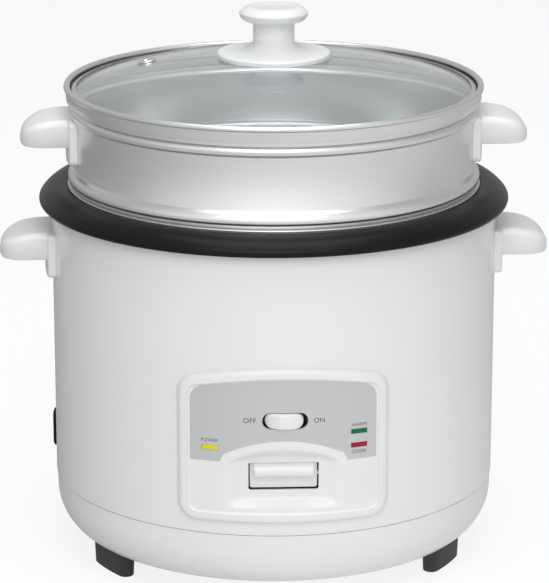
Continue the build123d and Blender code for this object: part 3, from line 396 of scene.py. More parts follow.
def combined(first, second, operation="DIFFERENCE"):
    # boolean of two bmeshes through the modifier, back as one bmesh
    objects = []
    for bm in (first, second):
        bmesh.ops.recalc_face_normals(bm, faces=bm.faces)
        mesh = bpy.data.meshes.new("scratch")
        bm.to_mesh(mesh)
        bm.free()
        thing = bpy.data.objects.new("scratch", mesh)
        scene.collection.objects.link(thing)
        objects.append(thing)
    modifier = objects[0].modifiers.new("cut", "BOOLEAN")
    modifier.operation = operation
    modifier.solver = "EXACT"
    modifier.object = objects[1]
    depsgraph = bpy.context.evaluated_depsgraph_get()
    mesh = bpy.data.meshes.new_from_object(objects[0].evaluated_get(depsgraph))
    result = bmesh.new()
    result.from_mesh(mesh)
    bpy.data.meshes.remove(mesh)
    for thing in objects:
        data = thing.data
        bpy.data.objects.remove(thing)
        bpy.data.meshes.remove(data)
    return result


def merged(first, second):
    # both shells in one bmesh
    mesh = bpy.data.meshes.new("scratch")
    second.to_mesh(mesh)
    second.free()
    first.from_mesh(mesh)
    bpy.data.meshes.remove(mesh)
    return first


def ontoHousing(bm):
    # flat drawing (x, depth beyond the housing's axis as -y, z) bent round the housing
    for vert in bm.verts:
        depth = -vert.co.y
        vert.co.y = -math.sqrt(max(depth * depth - vert.co.x * vert.co.x, 1.0))
    return bm


# Housing, base ring and top ring

housing = {"radius": 125.0, "wall": 1.0, "low": 44.5, "high": 204.8, "flange": 113.0,
           "windowHalf": 22.5, "windowLow": 59.4, "windowHigh": 126.2, "betweenHoles": -60.0,
           "inletAzimuth": -106.5, "inletHalf": 6.0, "inletLow": 48.5, "inletHigh": 68.0}


def azimuthOf(point):
    return math.degrees(math.atan2(point.x, -point.y))


def housingSheet(h):
    # turned sheet with two holes, behind the panel and behind the power inlet
    outer, inner = h["radius"], h["radius"] - h["wall"]
    levels = [h["inletLow"], h["windowLow"], h["inletHigh"], h["windowHigh"]]
    outline = [(outer, h["low"], 0.4)] + [(outer, z) for z in levels] + [
        (outer, h["high"], 0.5), (h["flange"], h["high"]), (h["flange"], h["high"] - h["wall"]),
        (inner, h["high"] - h["wall"])] + [(inner, z) for z in reversed(levels)] + [(inner, h["low"], 0.4)]
    bm = turnedSolid(outline, steps=240)
    holes = []
    for face in bm.faces:
        centre = face.calc_center_median()
        if centre.xy.length < inner - 0.5:
            continue
        inWindow = abs(azimuthOf(centre)) < h["windowHalf"] and h["windowLow"] < centre.z < h["windowHigh"]
        nearInlet = abs(azimuthOf(centre) - h["inletAzimuth"]) < h["inletHalf"]
        if inWindow or (nearInlet and h["inletLow"] < centre.z < h["inletHigh"]):
            holes.append(face)
    bmesh.ops.delete(bm, geom=holes, context="FACES")
    rims = [edge for edge in bm.edges if len(edge.link_faces) == 1]
    window = [edge for edge in rims if azimuthOf(edge.verts[0].co) > h["betweenHoles"]]
    bmesh.ops.bridge_loops(bm, edges=window)
    rims = [edge for edge in bm.edges if len(edge.link_faces) == 1]
    bmesh.ops.bridge_loops(bm, edges=rims)
    return bm


finishPiece("housingSheet", housingSheet(housing), "outer_shell")

baseOutline = traced([
    (124.6, 44.15, 0.2), (124.3, 35.0), ((122.1, 24.8), (116.3, 16.4)), (115.0, 15.3), (114.5, 15.4),
    (114.2, 14.9), (112.6, 13.6, 0.4), (110.5, 13.6), (110.5, 16.1), (113.4, 16.1),
    ((119.2, 24.8), (121.6, 35.0)), (121.6, 48.6), (123.8, 48.6), (123.8, 44.15)])
finishPiece("baseRing", turnedSolid(baseOutline, 240), "base_ring")

topOutline = traced([
    (116.5, 211.3), ((125.8, 210.1), (131.1, 205.7)), ((131.95, 203.9), (131.0, 201.5)), (128.4, 201.5),
    (128.2, 205.7), (125.5, 207.4), (115.3, 208.6), (115.3, 205.6), (113.3, 205.6), (113.3, 208.6),
    (111.0, 208.6), (111.0, 210.6), (116.5, 210.6)])
finishPiece("topRing", turnedSolid(topOutline, 240), "top_ring")
print("housing and rings made")

# Inner pot, steamer and lid

potOutline = [(0, 103.3), (109.0, 103.3, 14.0), (109.0, 210.6), (115.8, 210.6, 0.4), (115.8, 212.1, 0.4),
              (107.5, 212.1, 0.6), (107.5, 104.8, 12.5), (0, 104.8)]
finishPiece("innerPot", turnedSolid(potOutline, 192), "inner_pot")

steamer = {"radius": 112.3, "floor": 178.0, "holeRadius": 3.0, "holePitch": 24.0, "holeRings": 4,
           "drillDepth": 6.0}
steamerOutline = traced([
    (0, 178.0), (105.5, 178.0, 12.0), (105.5, 212.1), (113.2, 212.1, 0.3), (115.4, 214.9),
    ((115.5, 217.1), (112.5, 221.4)), (112.3, 221.9), (112.3, 250.6), ((114.7, 253.7), (112.7, 256.8)),
    (112.7, 259.7), (115.8, 259.7, 0.2), (116.2, 265.2), ((117.2, 266.8), (115.5, 268.3)),
    ((113.8, 266.8), (115.1, 265.3)), (115.1, 260.4), (112.0, 260.4, 0.2), (112.0, 256.5),
    ((114.0, 253.7), (111.6, 250.3)), (111.6, 221.8), (111.8, 221.1), ((114.8, 217.0), (114.7, 215.2)),
    (112.9, 212.8), (104.8, 212.8), (104.8, 178.7, 11.3), (0, 178.7)])


def drilled(bm, s):
    # ring pattern of round holes through the floor
    drills = bmesh.new()
    for ring in range(s["holeRings"]):
        count = max(1, 6 * ring)
        for step in range(count):
            turn = Matrix.Rotation(2 * math.pi * step / count, 4, "Z")
            place = turn @ Matrix.Translation((0, -ring * s["holePitch"], s["floor"]))
            addCylinder(drills, s["holeRadius"], s["drillDepth"], 24, place)
    return combined(bm, drills)


pan = finishPiece("steamerPan", drilled(turnedSolid(steamerOutline, 192, 5), steamer), "steamer_pan")
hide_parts("steamer_basket")

lid = {"radius": 112.6, "rise": 18.9, "edge": 264.6, "thickness": 3.2, "ventAzimuth": -106.1,
       "ventDistance": 73.4, "ventBore": 4.1, "bore": 4.0, "slices": 36}
lid["sphere"] = (lid["radius"] ** 2 + lid["rise"] ** 2) / (2 * lid["rise"])
lid["centre"] = lid["edge"] + lid["rise"] - lid["sphere"]


def domeHeight(radius):
    return lid["centre"] + math.sqrt(lid["sphere"] ** 2 - radius ** 2)


def ventFrame():
    # the vent's place on the glass, square to the dome
    lean = math.asin(lid["ventDistance"] / lid["sphere"])
    return (Matrix.Rotation(math.radians(lid["ventAzimuth"]), 4, "Z")
            @ Matrix.Translation((0, -lid["ventDistance"], domeHeight(lid["ventDistance"])))
            @ Matrix.Rotation(lean, 4, "X"))


def glassDome():
    # a flat washer outline, sliced and dropped on to the sphere, then drilled for the vent
    inner, outer, thick, slices = lid["bore"], lid["radius"], lid["thickness"], lid["slices"]
    bm = flatFace([(inner, -thick), (outer, -thick - 0.2, 0.5), (outer, 0, 0.7), (inner, 0)], segments=3)
    cut(bm, "X", [inner + (outer - inner) * step / slices for step in range(1, slices)])
    for vert in bm.verts:
        vert.co.z += domeHeight(vert.co.x)
    bmesh.ops.delete(bm, geom=bm.faces[:], context="FACES_ONLY")
    bmesh.ops.delete(bm, geom=[e for e in bm.edges if abs(e.verts[0].co.x - e.verts[1].co.x) < 0.001
                               and inner + 1 < e.verts[0].co.x < outer - 1], context="EDGES")
    spun(bm, 192)
    drill = bmesh.new()
    addCylinder(drill, lid["ventBore"], 20.0, 48, ventFrame())
    return combined(bm, drill)


finishPiece("lidGlass", glassDome(), "lid_glass")

lip = domeHeight(110.2) + 0.1
bandOutline = [(113.3, 260.4, 0.2), (113.3, 264.95, 0.3), (112.8, 265.5, 0.2), (110.2, lip + 0.6, 0.25),
               (110.2, lip), (112.7, 264.75), (112.7, 260.85), (110.6, 260.85), (110.6, 260.4, 0.15)]
finishPiece("lidBand", turnedSolid(bandOutline, 192), "lid_band")

eyeletOutline = [(2.2, -4.0), (5.2, -4.0, 0.2), (5.2, -3.4, 0.2), (4.0, -3.4), (4.0, 0.1), (5.6, 0.1, 0.2),
                 (5.6, 0.9, 0.5), (3.0, 1.0, 0.5), (2.2, 0.2, 0.5)]
eyelet = turnedSolid(eyeletOutline, 48, 4)
bmesh.ops.transform(eyelet, matrix=ventFrame(), verts=eyelet.verts)
finishPiece("steamVent", eyelet, "steam_vent")

knobFoot = domeHeight(31.7) + 0.3
knobOutline = traced([
    (2.4, domeHeight(2.4) + 0.3), (2.4, 297.8), (0, 297.8), (0, 310.5), (10.6, 310.5),
    ((17.0, 309.4), (19.2, 307.1)), ((18.2, 304.3), (15.0, 302.5)), (11.5, 301.1, 0.8), (11.5, knobFoot + 8),
    ((14.9, knobFoot + 5.2), (21.0, knobFoot + 4.0)), (30.3, knobFoot + 2.9),
    ((31.4, knobFoot + 2.4), (31.7, knobFoot + 1.4)), (31.7, knobFoot),
    (24.0, domeHeight(24.0) + 0.3), (14.0, domeHeight(14.0) + 0.3)])
finishPiece("lidKnob", turnedSolid(knobOutline, 128), "lid_knob")
print("pot, steamer and lid made")

# Handles: one ear, made twice for the cooker and twice for the steamer

handle = {"reach": 29.4, "gripHalf": 20.5, "corner": 14.0, "height": 15.5, "run": 25.0, "drop": 11.34,
          "crease": 4.0, "innerCrease": 2.0, "lip": 0.4, "innerLip": -0.3, "toe": 3.0, "wall": 2.5,
          "roof": 3.7, "root": 0.6, "steps": 30, "rootSteps": 8, "bodyTop": 187.0, "steamerTop": 251.1,
          "plateHalf": 25.0, "plateHeight": 25.0, "plateWall": 4.2, "plateCorner": 3.0, "plateEdge": 1.0,
          "plateGap": 0.05, "plateDrop": 0.1,
          "bossRadius": 4.0, "bossReach": 9.0, "bossSpread": 12.0, "bossDrop": 11.2}


def earPoint(h, wall, top, skin, step, slot):
    # step runs from root to tip; slot is 9 and 8 at the lower edge, 7 to 1 round the crease, 0 at the crown
    inset, roof, crease, lip = skin
    tip, root = wall + h["reach"], wall + h["root"]
    nose, corner, run = tip - inset, h["corner"] - inset, h["run"] - inset
    noseSteps = h["steps"] - h["rootSteps"]
    x = nose - corner * (1 - math.sin(math.pi / 2 * (step - h["rootSteps"]) / noseSteps))
    if step < h["rootSteps"]:
        x = root + (nose - corner - root) * step / h["rootSteps"]
    past, along = max(0.0, x - nose + corner), max(0.0, (x - nose + run) / run)
    half = h["gripHalf"] - h["corner"] + math.sqrt(max(0.0, corner ** 2 - past ** 2))
    high = top - h["drop"] + (h["drop"] - roof) * math.sqrt(max(0.0, 1 - along ** 2))
    toe = max(0.0, (x - tip + h["toe"]) / h["toe"])
    low = top - h["height"] + h["toe"] * (1 - math.sqrt(max(0.0, 1 - toe ** 2)))
    if slot == 9:
        return x, half - lip, low
    if slot == 8:
        return x, half, low + abs(lip)
    reach, turn = min(crease, 0.8 * (high - low)), math.pi / 12 * (7 - slot)
    across = half - reach * (1 - math.cos(turn)) if slot else 0.0
    return x, across, high - reach * (1 - math.sin(min(turn, math.pi / 2)))


def ear(h, wall, top):
    # outer and inner skin joined round the open underside, then the plate and two screw bosses
    bm = bmesh.new()
    for skin in ((0.0, 0.0, h["crease"], h["lip"]), (h["wall"], h["roof"], h["innerCrease"], h["innerLip"])):
        sheet = bmesh.ops.create_grid(bm, x_segments=h["steps"], y_segments=18, size=1.0)["verts"]
        nose = [vert for vert in sheet if vert.co.x > 0.999]
        for vert in sheet:
            step, slot = round((vert.co.x + 1) * h["steps"] / 2), round(vert.co.y * 9)
            x, y, z = earPoint(h, wall, top, skin, step, abs(slot))
            vert.co = (x, math.copysign(y, slot), z)
        bmesh.ops.contextual_create(bm, geom=nose)
    bmesh.ops.bridge_loops(bm, edges=[edge for edge in bm.edges if edge.is_boundary])
    for side in (-1, 1):
        turn = Matrix.Rotation(side * math.asin(h["bossSpread"] / wall), 4, "Z")
        place = Matrix.Translation((wall + 1 + h["bossReach"] / 2, 0, top - h["bossDrop"]))
        lying = turn @ place @ Matrix.Rotation(math.pi / 2, 4, "Y")
        addCylinder(bm, h["bossRadius"], h["bossReach"], 32, lying)
    return merged(bm, handlePlate(h, wall + h["plateGap"], top - h["plateDrop"]))


def handlePlate(h, wall, top):
    # flat plate, softened at its front and bent round the wall
    corner = h["plateCorner"]
    bm = flatFace(rectangle(h["plateHalf"], top - h["plateHeight"], top, corner, corner),
                  lambda a, b: (wall, a, b))
    pulled(bm, (h["plateWall"], 0, 0))
    front = [edge for edge in bm.edges if min(vert.co.x for vert in edge.verts) > wall + 1]
    softened(bm, front, h["plateEdge"], 4)
    cut(bm, "Y", row(-24, 3, 17))
    for vert in bm.verts:
        vert.co.x = math.sqrt(vert.co.x ** 2 - vert.co.y ** 2)
    return bm


for label, wall, top in (("body", housing["radius"], handle["bodyTop"]),
                         ("steamer", steamer["radius"], handle["steamerTop"])):
    for side, turn in (("right", 0.0), ("left", 180.0)):
        bm = swung(ear(handle, wall, top), turn)
        finishPiece(label + "Handle" + side.title(), bm, label + "_handle_" + side, sharp=50.0)
print("handles made")

# Control panel, drawn flat and bent round the housing

panel = {
    "half": 56.7, "low": 52.4, "shoulder": 132.2, "high": 139.3, "corner": 10.0, "topCorner": 8.0,
    "back": 125.05, "crest": 128.6, "face": 127.5, "wall": 1.5, "frame": 6.6, "outerRound": 2.6,
    "crestWidth": 2.5, "slope": 0.7, "edge": 0.4, "gridHalf": 34.5, "gridLow": 59.0, "gridHigh": 99.0,
    "pocket": 6.0, "mouthHalf": 30.5, "mouthLow": 61.0, "mouthSide": 87.0, "mouthTop": 95.0,
    "floorHalf": 21.2, "floorLow": 66.45, "floorTop": 88.35, "floorBow": 1.5,
}


def archedOutline(p, steps=10):
    # rectangle whose top bows up, corners rounded
    side, low, shoulder = p["half"], p["low"], p["shoulder"]
    across = [side * (1 - 2 * step / steps) for step in range(1, steps)]
    top = [(x, shoulder + (p["high"] - shoulder) * (1 - (x / side) ** 2)) for x in across]
    return [(-side, low, p["corner"]), (side, low, p["corner"]), (side, shoulder, p["topCorner"]), *top,
            (-side, shoulder, p["topCorner"])]


def smoothStep(value):
    value = max(0.0, min(1.0, value))
    return value * value * (3 - 2 * value)


def pocketDepth(p, x, z):
    # 0 on the panel's face, 1 on the pocket's floor; crisp at its sides and foot, soft under the arch
    mouthTop = p["mouthSide"] + (p["mouthTop"] - p["mouthSide"]) * (1 - (x / p["mouthHalf"]) ** 2)
    floorTop = p["floorTop"] - p["floorBow"] * (x / p["floorHalf"]) ** 2
    across = (p["mouthHalf"] - abs(x)) / (p["mouthHalf"] - p["floorHalf"])
    above = (mouthTop - z) / max(0.5, mouthTop - floorTop)
    below = (z - p["mouthLow"]) / (p["floorLow"] - p["mouthLow"])
    across, below = (math.sin(math.pi / 2 * max(0.0, min(1.0, share))) for share in (across, below))
    return across * smoothStep(above) * below


def panelSheet(p):
    # outline -> raised frame with a crest -> slope down to the face, as one open sheet
    bm = flatFace(archedOutline(p), lambda a, b: (a, -p["back"], b), segments=10)
    pulled(bm, (0, p["back"] - p["crest"], 0))
    back = [face for face in bm.faces if face.calc_center_median().y > -p["back"] - 0.01]
    bmesh.ops.delete(bm, geom=back, context="FACES")
    softened(bm, largestFace(bm).edges[:], p["outerRound"], 5)
    for width in (p["crestWidth"], p["slope"]):
        bmesh.ops.inset_individual(bm, faces=[largestFace(bm)], thickness=width, depth=0.0)
    front = largestFace(bm)
    rim = front.edges[:]
    bmesh.ops.translate(bm, vec=(0, p["crest"] - p["face"], 0), verts=front.verts[:])
    return softened(bm, rim, p["edge"], 2)


def griddedFace(bm, p):
    # cells of 1 mm inside the face, so that the pocket can sink in
    mark = bm.faces.layers.int.new("inside")
    largestFace(bm)[mark] = 1
    for axis, low, high in (("X", -p["gridHalf"], p["gridHalf"]), ("Z", p["gridLow"], p["gridHigh"])):
        normal = Vector([float(axis == letter) for letter in "XYZ"])
        for step in range(int(high - low) + 1):
            inside = [f for f in bm.faces if f[mark]]
            geom = set(inside)
            for face in inside:
                geom.update(face.edges)
                geom.update(face.verts)
            bmesh.ops.bisect_plane(bm, geom=list(geom), dist=0.0001,
                                   plane_co=normal * (low + step), plane_no=normal)
    for vert in bm.verts:
        if any(f[mark] for f in vert.link_faces):
            # sunk so that the pocket's floor is flat once the panel is bent
            sunk = p["face"] - math.hypot(p["face"] - p["pocket"], vert.co.x)
            vert.co.y += sunk * pocketDepth(p, vert.co.x, vert.co.z)
    return bm


def thickened(bm, wall):
    # an even wall behind the sheet
    bmesh.ops.recalc_face_normals(bm, faces=bm.faces)
    outward = sum(f.normal.y * f.calc_area() for f in bm.faces)
    if outward > 0:
        bmesh.ops.reverse_faces(bm, faces=bm.faces[:])
    bmesh.ops.solidify(bm, geom=bm.faces[:], thickness=wall)
    return bm


def prism(points, segments=6, depth=30.0, front=-140.0):
    # drawing (x, z) at y = front, pulled back by depth; left at that, a cutter through the flat panel
    bm = flatFace(points, lambda a, b: (a, front, b), segments=segments)
    return pulled(bm, (0, depth, 0))


def boxPoints(x, z, width, height, corner=0.0):
    w, h = width / 2, height / 2
    tail = (corner,) if corner else ()
    return [(x + a * w, z + b * h, *tail) for a, b in ((-1, -1), (1, -1), (1, 1), (-1, 1))]


lamps = {"power": (-39.6, 94.3), "warm": (40.6, 102.4), "cook": (40.6, 94.7)}
lamp = {"width": 8.6, "height": 2.5, "gap": 0.1, "depth": 3.4, "proud": 0.45, "edge": 0.25}
plate = {"foot": 86.8, "footHalf": 34.5, "archHalf": 32.3, "archLow": 91.2, "archRise": 8.0, "crown": 5.5,
         "overlap": 0.4, "corner": 6.8, "edge": 0.4, "proud": 0.12, "thickness": 0.5}
rocker = {"x": 0.6, "z": 110.5, "length": 20.7, "width": 8.4, "corner": 4.15, "edge": 1.3,
          "mouthLength": 24.7, "mouthWidth": 9.2, "mouthCorner": 4.55, "front": -130.6, "back": -123.4,
          "fall": 4.2, "crest": 0.14, "curve": 1.4, "pivot": -121.0, "tilt": -7.0}
key = {"half": 18.2, "low": 70.45, "high": 84.95, "gap": 0.7, "topGap": 0.15, "corner": 1.4,
       "topCorner": 0.5, "mouthTopCorner": 0.3, "front": -119.6, "thickness": 2.0, "edge": 0.4,
       "ridgeHalf": 15.8, "ridgeRound": 1.1, "ridgeRoot": -120.0}


def fasciaOutline(p, f):
    # plate inside the frame, with an arch cut out of its foot for the pocket
    side, foot, edge = p["half"] - p["frame"], f["foot"], f["edge"]
    shoulder = p["high"] - p["frame"] + f["overlap"] - f["crown"]
    arch = [(f["archHalf"] * (1 - step / 8), f["archLow"] + f["archRise"] * (1 - (1 - step / 8) ** 2))
            for step in range(17)]
    crown = [(side * (step / 6 - 1), shoulder + f["crown"] * (1 - (step / 6 - 1) ** 2))
             for step in range(1, 12)]
    return [(-side, foot, edge), (-f["footHalf"], foot, edge), *reversed(arch), (f["footHalf"], foot, edge),
            (side, foot, edge), (side, shoulder, f["corner"]), *reversed(crown),
            (-side, shoulder, f["corner"])]


def panelCutters():
    # the mouths of rocker, lamps and key
    cutters = prism(boxPoints(rocker["x"], rocker["z"], rocker["mouthLength"], rocker["mouthWidth"],
                              rocker["mouthCorner"]), 10)
    width, height = lamp["width"] + 2 * lamp["gap"], lamp["height"] + 2 * lamp["gap"]
    for x, z in lamps.values():
        merged(cutters, prism(boxPoints(x, z, width, height)))
    mouth = rectangle(key["half"] + key["gap"], key["low"] - key["gap"], key["high"] + key["topGap"],
                      key["corner"], key["mouthTopCorner"])
    return merged(cutters, prism(mouth))


bezel = thickened(griddedFace(panelSheet(panel), panel), panel["wall"])
bezel = combined(bezel, panelCutters())
cut(bezel, "X", row(-56, 2, 57))
finishPiece("panelBezel", ontoHousing(bezel), "control_panel", sharp=50.0)

fascia = prism(fasciaOutline(panel, plate), 8, plate["thickness"], -panel["face"] - plate["proud"])
fascia = combined(fascia, panelCutters())
cut(fascia, "X", row(-50, 2, 51))
finishPiece("panelFascia", ontoHousing(fascia), "panel_fascia", sharp=50.0)

lensFront = -panel["face"] - lamp["proud"]
for name, (x, z) in lamps.items():
    outline = boxPoints(x, z, lamp["width"], lamp["height"], lamp["edge"])
    lens = prism(outline, 2, lamp["depth"], lensFront)
    softened(lens, frontEdges(lens, lensFront), lamp["edge"], 2)
    cut(lens, "X", row(x - 4, 1, 9))
    finishPiece("lamp" + name.title(), ontoHousing(lens), "lamp_" + name)

# Words on the fascia

words = [("OFF", -18.35, 110.5, 2.8), ("ON", 18.95, 110.3, 2.8), ("POWER", -39.75, 98.4, 1.85),
         ("WARM", 40.65, 106.0, 1.85), ("COOK", 40.55, 90.9, 1.9)]
lettering = {"capShare": 0.72, "spacing": 1.05, "thickness": 0.02, "proud": 0.13}
for text, x, z, height in words:
    curve = bpy.data.curves.new("word" + text.title(), "FONT")
    curve.body = text
    curve.align_x = "CENTER"
    curve.align_y = "CENTER"
    curve.size = height / lettering["capShare"]
    curve.extrude = lettering["thickness"]
    curve.space_character = lettering["spacing"]
    letters = bpy.data.objects.new("scratch", curve)
    scene.collection.objects.link(letters)
    mesh = bpy.data.meshes.new_from_object(letters.evaluated_get(bpy.context.evaluated_depsgraph_get()))
    bpy.data.objects.remove(letters)
    bm = bmesh.new()
    bm.from_mesh(mesh)
    bpy.data.meshes.remove(mesh)
    bmesh.ops.rotate(bm, verts=bm.verts, cent=(0, 0, 0), matrix=Matrix.Rotation(math.pi / 2, 3, "X"))
    bmesh.ops.translate(bm, vec=(x, -panel["face"] - lettering["proud"], z), verts=bm.verts)
    finishPiece("word" + text.title(), ontoHousing(bm), None, "switch_plastic", "cooker", ink)
print("panel made")

# Rocker and cook key

# a block whose front falls away on both sides of a flat crest, tilted about its pivot
rockerDepth = rocker["back"] - rocker["front"]
rockerBlock = prism(boxPoints(0, 0, rocker["length"], rocker["width"], rocker["corner"]), 10, rockerDepth,
                    rocker["front"])
softened(rockerBlock, frontEdges(rockerBlock, rocker["front"]), rocker["edge"], 4)
cut(rockerBlock, "X", row(-10, 0.5, 41))
for vert in rockerBlock.verts:
    outward = abs(vert.co.x) / (rocker["length"] / 2)
    across = max(0.0, (outward - rocker["crest"]) / (1 - rocker["crest"]))
    share = (rocker["back"] - vert.co.y) / rockerDepth
    vert.co.y += share * rocker["fall"] * across ** rocker["curve"]
bmesh.ops.rotate(rockerBlock, verts=rockerBlock.verts, cent=(0, rocker["pivot"], 0),
                 matrix=Matrix.Rotation(math.radians(rocker["tilt"]), 3, "Z"))
bmesh.ops.translate(rockerBlock, vec=(rocker["x"], 0, rocker["z"]), verts=rockerBlock.verts)
finishPiece("rockerCap", rockerBlock, "rocker_button")

# the key: a plate in the pocket with a rounded ridge for the finger
keyPlate = prism(rectangle(key["half"], key["low"], key["high"], key["corner"], key["topCorner"]), 5,
                 key["thickness"], key["front"])
softened(keyPlate, frontEdges(keyPlate, key["front"]), key["edge"], 3)
ridgeSide = traced([(-118.6, 84.95), (-122.6, 84.95, 0.4), ((-126.2, 81.55), (-123.4, 77.75)),
                    (-119.6, 76.4, 0.5), (-118.6, 76.4)])
ridge = flatFace(ridgeSide, lambda a, b: (-key["ridgeHalf"], a, b), segments=4)
pulled(ridge, (2 * key["ridgeHalf"], 0, 0))
softened(ridge, [e for e in ridge.edges if abs(e.verts[0].co.x - e.verts[1].co.x) < 0.01
                 and min(v.co.y for v in e.verts) < key["ridgeRoot"]], key["ridgeRound"], 4)
finishPiece("cookKey", combined(keyPlate, ridge, "UNION"), "cook_key", sharp=50.0)
print("rocker and key made")

# Feet and power inlet

foot = {"radius": 107.0, "half": 4.5, "sweep": 6.69, "height": 13.5, "flare": 1.1, "flareTurn": 1.027,
        "stepTop": 16.1, "stepSink": 0.5, "stepSweep": 6.5, "stepIn": 103.0, "stepOut": 110.3, "edge": 0.8,
        "hole": 3.4, "holeDepth": 5.0}


def onCircle(radius, degrees):
    return radius * math.sin(math.radians(degrees)), -radius * math.cos(math.radians(degrees))


def footBlock(f):
    # slot bent along the base, a little wider at its top, with the step that reaches the base plate
    inner, outer, turn = f["radius"] - f["half"], f["radius"] + f["half"], f["sweep"]
    cap = turn + math.degrees(f["half"] / f["radius"])
    outline = traced([onCircle(outer, -turn), (onCircle(outer, 0), onCircle(outer, turn)),
                      (onCircle(f["radius"], cap), onCircle(inner, turn)),
                      (onCircle(inner, 0), onCircle(inner, -turn)),
                      (onCircle(f["radius"], -cap), onCircle(outer, -turn))])
    bm = flatFace(outline[:-1], lambda a, b: (a, b, 0.0))
    pulled(bm, (0, 0, f["height"]))
    for vert in bm.verts:
        if vert.co.z > 1:
            radius = f["radius"] + (vert.co.xy.length - f["radius"]) * f["flare"]
            vert.co.x, vert.co.y = onCircle(radius, azimuthOf(vert.co) * f["flareTurn"])
    softened(bm, [e for e in bm.edges if max(v.co.z for v in e.verts) < 0.1], f["edge"], 4)
    hole = bmesh.new()
    addCylinder(hole, f["hole"], 2 * f["holeDepth"], 32, Matrix.Translation((0, -f["radius"], 0)))
    bm = combined(bm, hole)
    turn, base = f["stepSweep"], f["height"] - f["stepSink"]
    ledge = traced([onCircle(f["stepOut"], -turn), (onCircle(f["stepOut"], 0), onCircle(f["stepOut"], turn)),
                    onCircle(f["stepIn"], turn), (onCircle(f["stepIn"], 0), onCircle(f["stepIn"], -turn))])
    step = flatFace(ledge, lambda a, b: (a, b, base))
    pulled(step, (0, 0, f["stepTop"] - base))
    return merged(bm, step)


for name, azimuth in (("left", -60.0), ("right", 60.0), ("rear", 180.0)):
    finishPiece("foot" + name.title(), swung(footBlock(foot), azimuth), "foot_" + name)

# flange, case and recess: each a width, a height and a corner, a depth and the place of its front
inlet = {"azimuth": -107.0, "height": 58.2, "edge": 0.9,
         "flange": ((30.0, 23.0, 4.0), 3.6, -129.0),
         "case": ((24.8, 17.8, 1.0), 17.0, -128.0),
         "recess": ((21.6, 14.6, 2.0), 16.0, -130.0)}
flange, case, recess = (prism(boxPoints(0, inlet["height"], *box), 6, depth, front)
                        for box, depth, front in (inlet["flange"], inlet["case"], inlet["recess"]))
softened(flange, frontEdges(flange, inlet["flange"][2]), inlet["edge"], 4)
socketCase = swung(combined(combined(flange, case, "UNION"), recess), inlet["azimuth"])
finishPiece("powerInlet", socketCase, "power_inlet", sharp=45.0)
print("feet and inlet made")

# Floor, light and background. The room is bright in front of the object and dim at its sides and back.

studio = {"dim": 0.28, "bright": 0.75, "mirrorLift": 0.25, "floorHalf": 6.0, "floorDim": 0.42,
          "floorBright": 0.42, "floorFade": 1.3, "floorTurn": 0.14, "floorGlow": 0.85}


def whiteWhere(seen, lightTone):
    # 1 where seen is 1, else the tone
    return seen * (1.0 - lightTone) + lightTone


floorMesh = bmesh.new()
bmesh.ops.create_grid(floorMesh, x_segments=1, y_segments=1, size=studio["floorHalf"])
floorData = bpy.data.meshes.new("studioFloor")
floorMesh.to_mesh(floorData)
floorMesh.free()
studioFloor = bpy.data.objects.new("studioFloor", floorData)
scene.collection.objects.link(studioFloor)

floorMaterial = bpy.data.materials.new("studioFloor")
floorMaterial.use_nodes = True
floorTree = floorMaterial.node_tree
floorShader = floorTree.nodes["Principled BSDF"]
spot = Wire(floorTree, floorShader.outputs[0]).make("ShaderNodeTexCoord", None, None, 3)
outward = spot.make("ShaderNodeVectorMath", {"operation": "NORMALIZE"}, {0: spot})
# painted light: the floor's colour and glow are brightest in front, darker at its sides and darkest at its
# back, and lighter on the right than on the left
ahead = (outward.part("Y") * -0.5 + 0.5).maths("POWER", studio["floorFade"])
lightTone = ahead * studio["floorBright"] + outward.part("X") * studio["floorTurn"] + studio["floorDim"]
seen, seenInMetal, seenInGlass = (spot.make("ShaderNodeLightPath", None, None, f"Is {kind} Ray")
                                  for kind in ("Camera", "Glossy", "Transmission"))
floorShade = whiteWhere(seen, lightTone)
spot.feed(floorShader.inputs["Base Color"], floorShade)
floorShader.inputs["Roughness"].default_value = 0.7
floorShader.inputs["Specular IOR Level"].default_value = 0.1
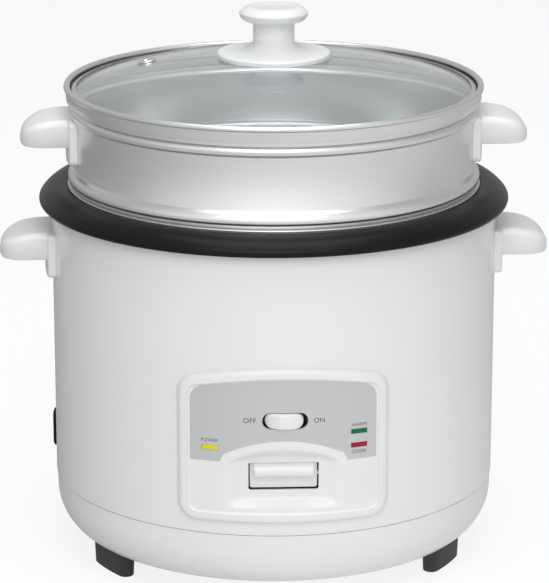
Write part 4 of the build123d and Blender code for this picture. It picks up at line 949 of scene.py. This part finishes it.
# white to the camera and its painted light tone in metal and glass; the rest is lit, and keeps the object's
# shadow
glow = floorTree.nodes.new("ShaderNodeEmission")
spot.feed(glow.inputs["Strength"], floorShade)
mixer = floorTree.nodes.new("ShaderNodeMixShader")
shown = (seen + seenInMetal + seenInGlass).maths("MINIMUM", 1.0)
spot.feed(mixer.inputs[0], shown * studio["floorGlow"])
floorTree.links.new(floorShader.outputs[0], mixer.inputs[1])
floorTree.links.new(glow.outputs[0], mixer.inputs[2])
floorTree.links.new(mixer.outputs[0], floorTree.nodes["Material Output"].inputs["Surface"])
floorData.materials.append(floorMaterial)

world = bpy.data.worlds.new("studio")
world.use_nodes = True
scene.world = world
worldTree = world.node_tree
background = worldTree.nodes["Background"]
background.inputs["Color"].default_value = (1.0, 1.0, 1.0, 1.0)
rays = Wire(worldTree, background.outputs[0])
direct = rays.make("ShaderNodeLightPath", None, None, "Is Camera Ray")
heading = rays.make("ShaderNodeTexCoord", None, None, 0)
mirrored, through = (rays.make("ShaderNodeLightPath", None, None, f"Is {kind} Ray")
                     for kind in ("Glossy", "Transmission"))
frontward = (heading.part("Y") * -1.0).maths("MAXIMUM", 0.0)
strength = frontward * studio["bright"] + (mirrored + through) * studio["mirrorLift"] + studio["dim"]
rays.feed(background.inputs["Strength"], whiteWhere(direct, strength))

softboxes = [
    {"name": "keyBox", "place": (-0.1, -1.5, 1.3), "target": (0, 0, 0.15), "size": (1.2, 1.0), "power": 9.5},
    {"name": "backBox", "place": (0, 0.75, 1.8), "target": (0, 0, 0.2), "size": (0.5, 0.4), "power": 1.6},
    {"name": "topBox", "place": (0, -0.1, 1.7), "target": (0, 0, 0.2), "size": (1.2, 1.1), "power": 12.0},
]


def softbox(name, place, target, size, power):
    data = bpy.data.lights.new(name, "AREA")
    data.shape = "RECTANGLE"
    data.size, data.size_y = size
    data.energy = power
    lightObject = bpy.data.objects.new(name, data)
    scene.collection.objects.link(lightObject)
    lightObject.location = place
    lightObject.rotation_euler = (Vector(target) - Vector(place)).to_track_quat("-Z", "Y").to_euler()


for box in softboxes:
    softbox(**box)
print("studio made")
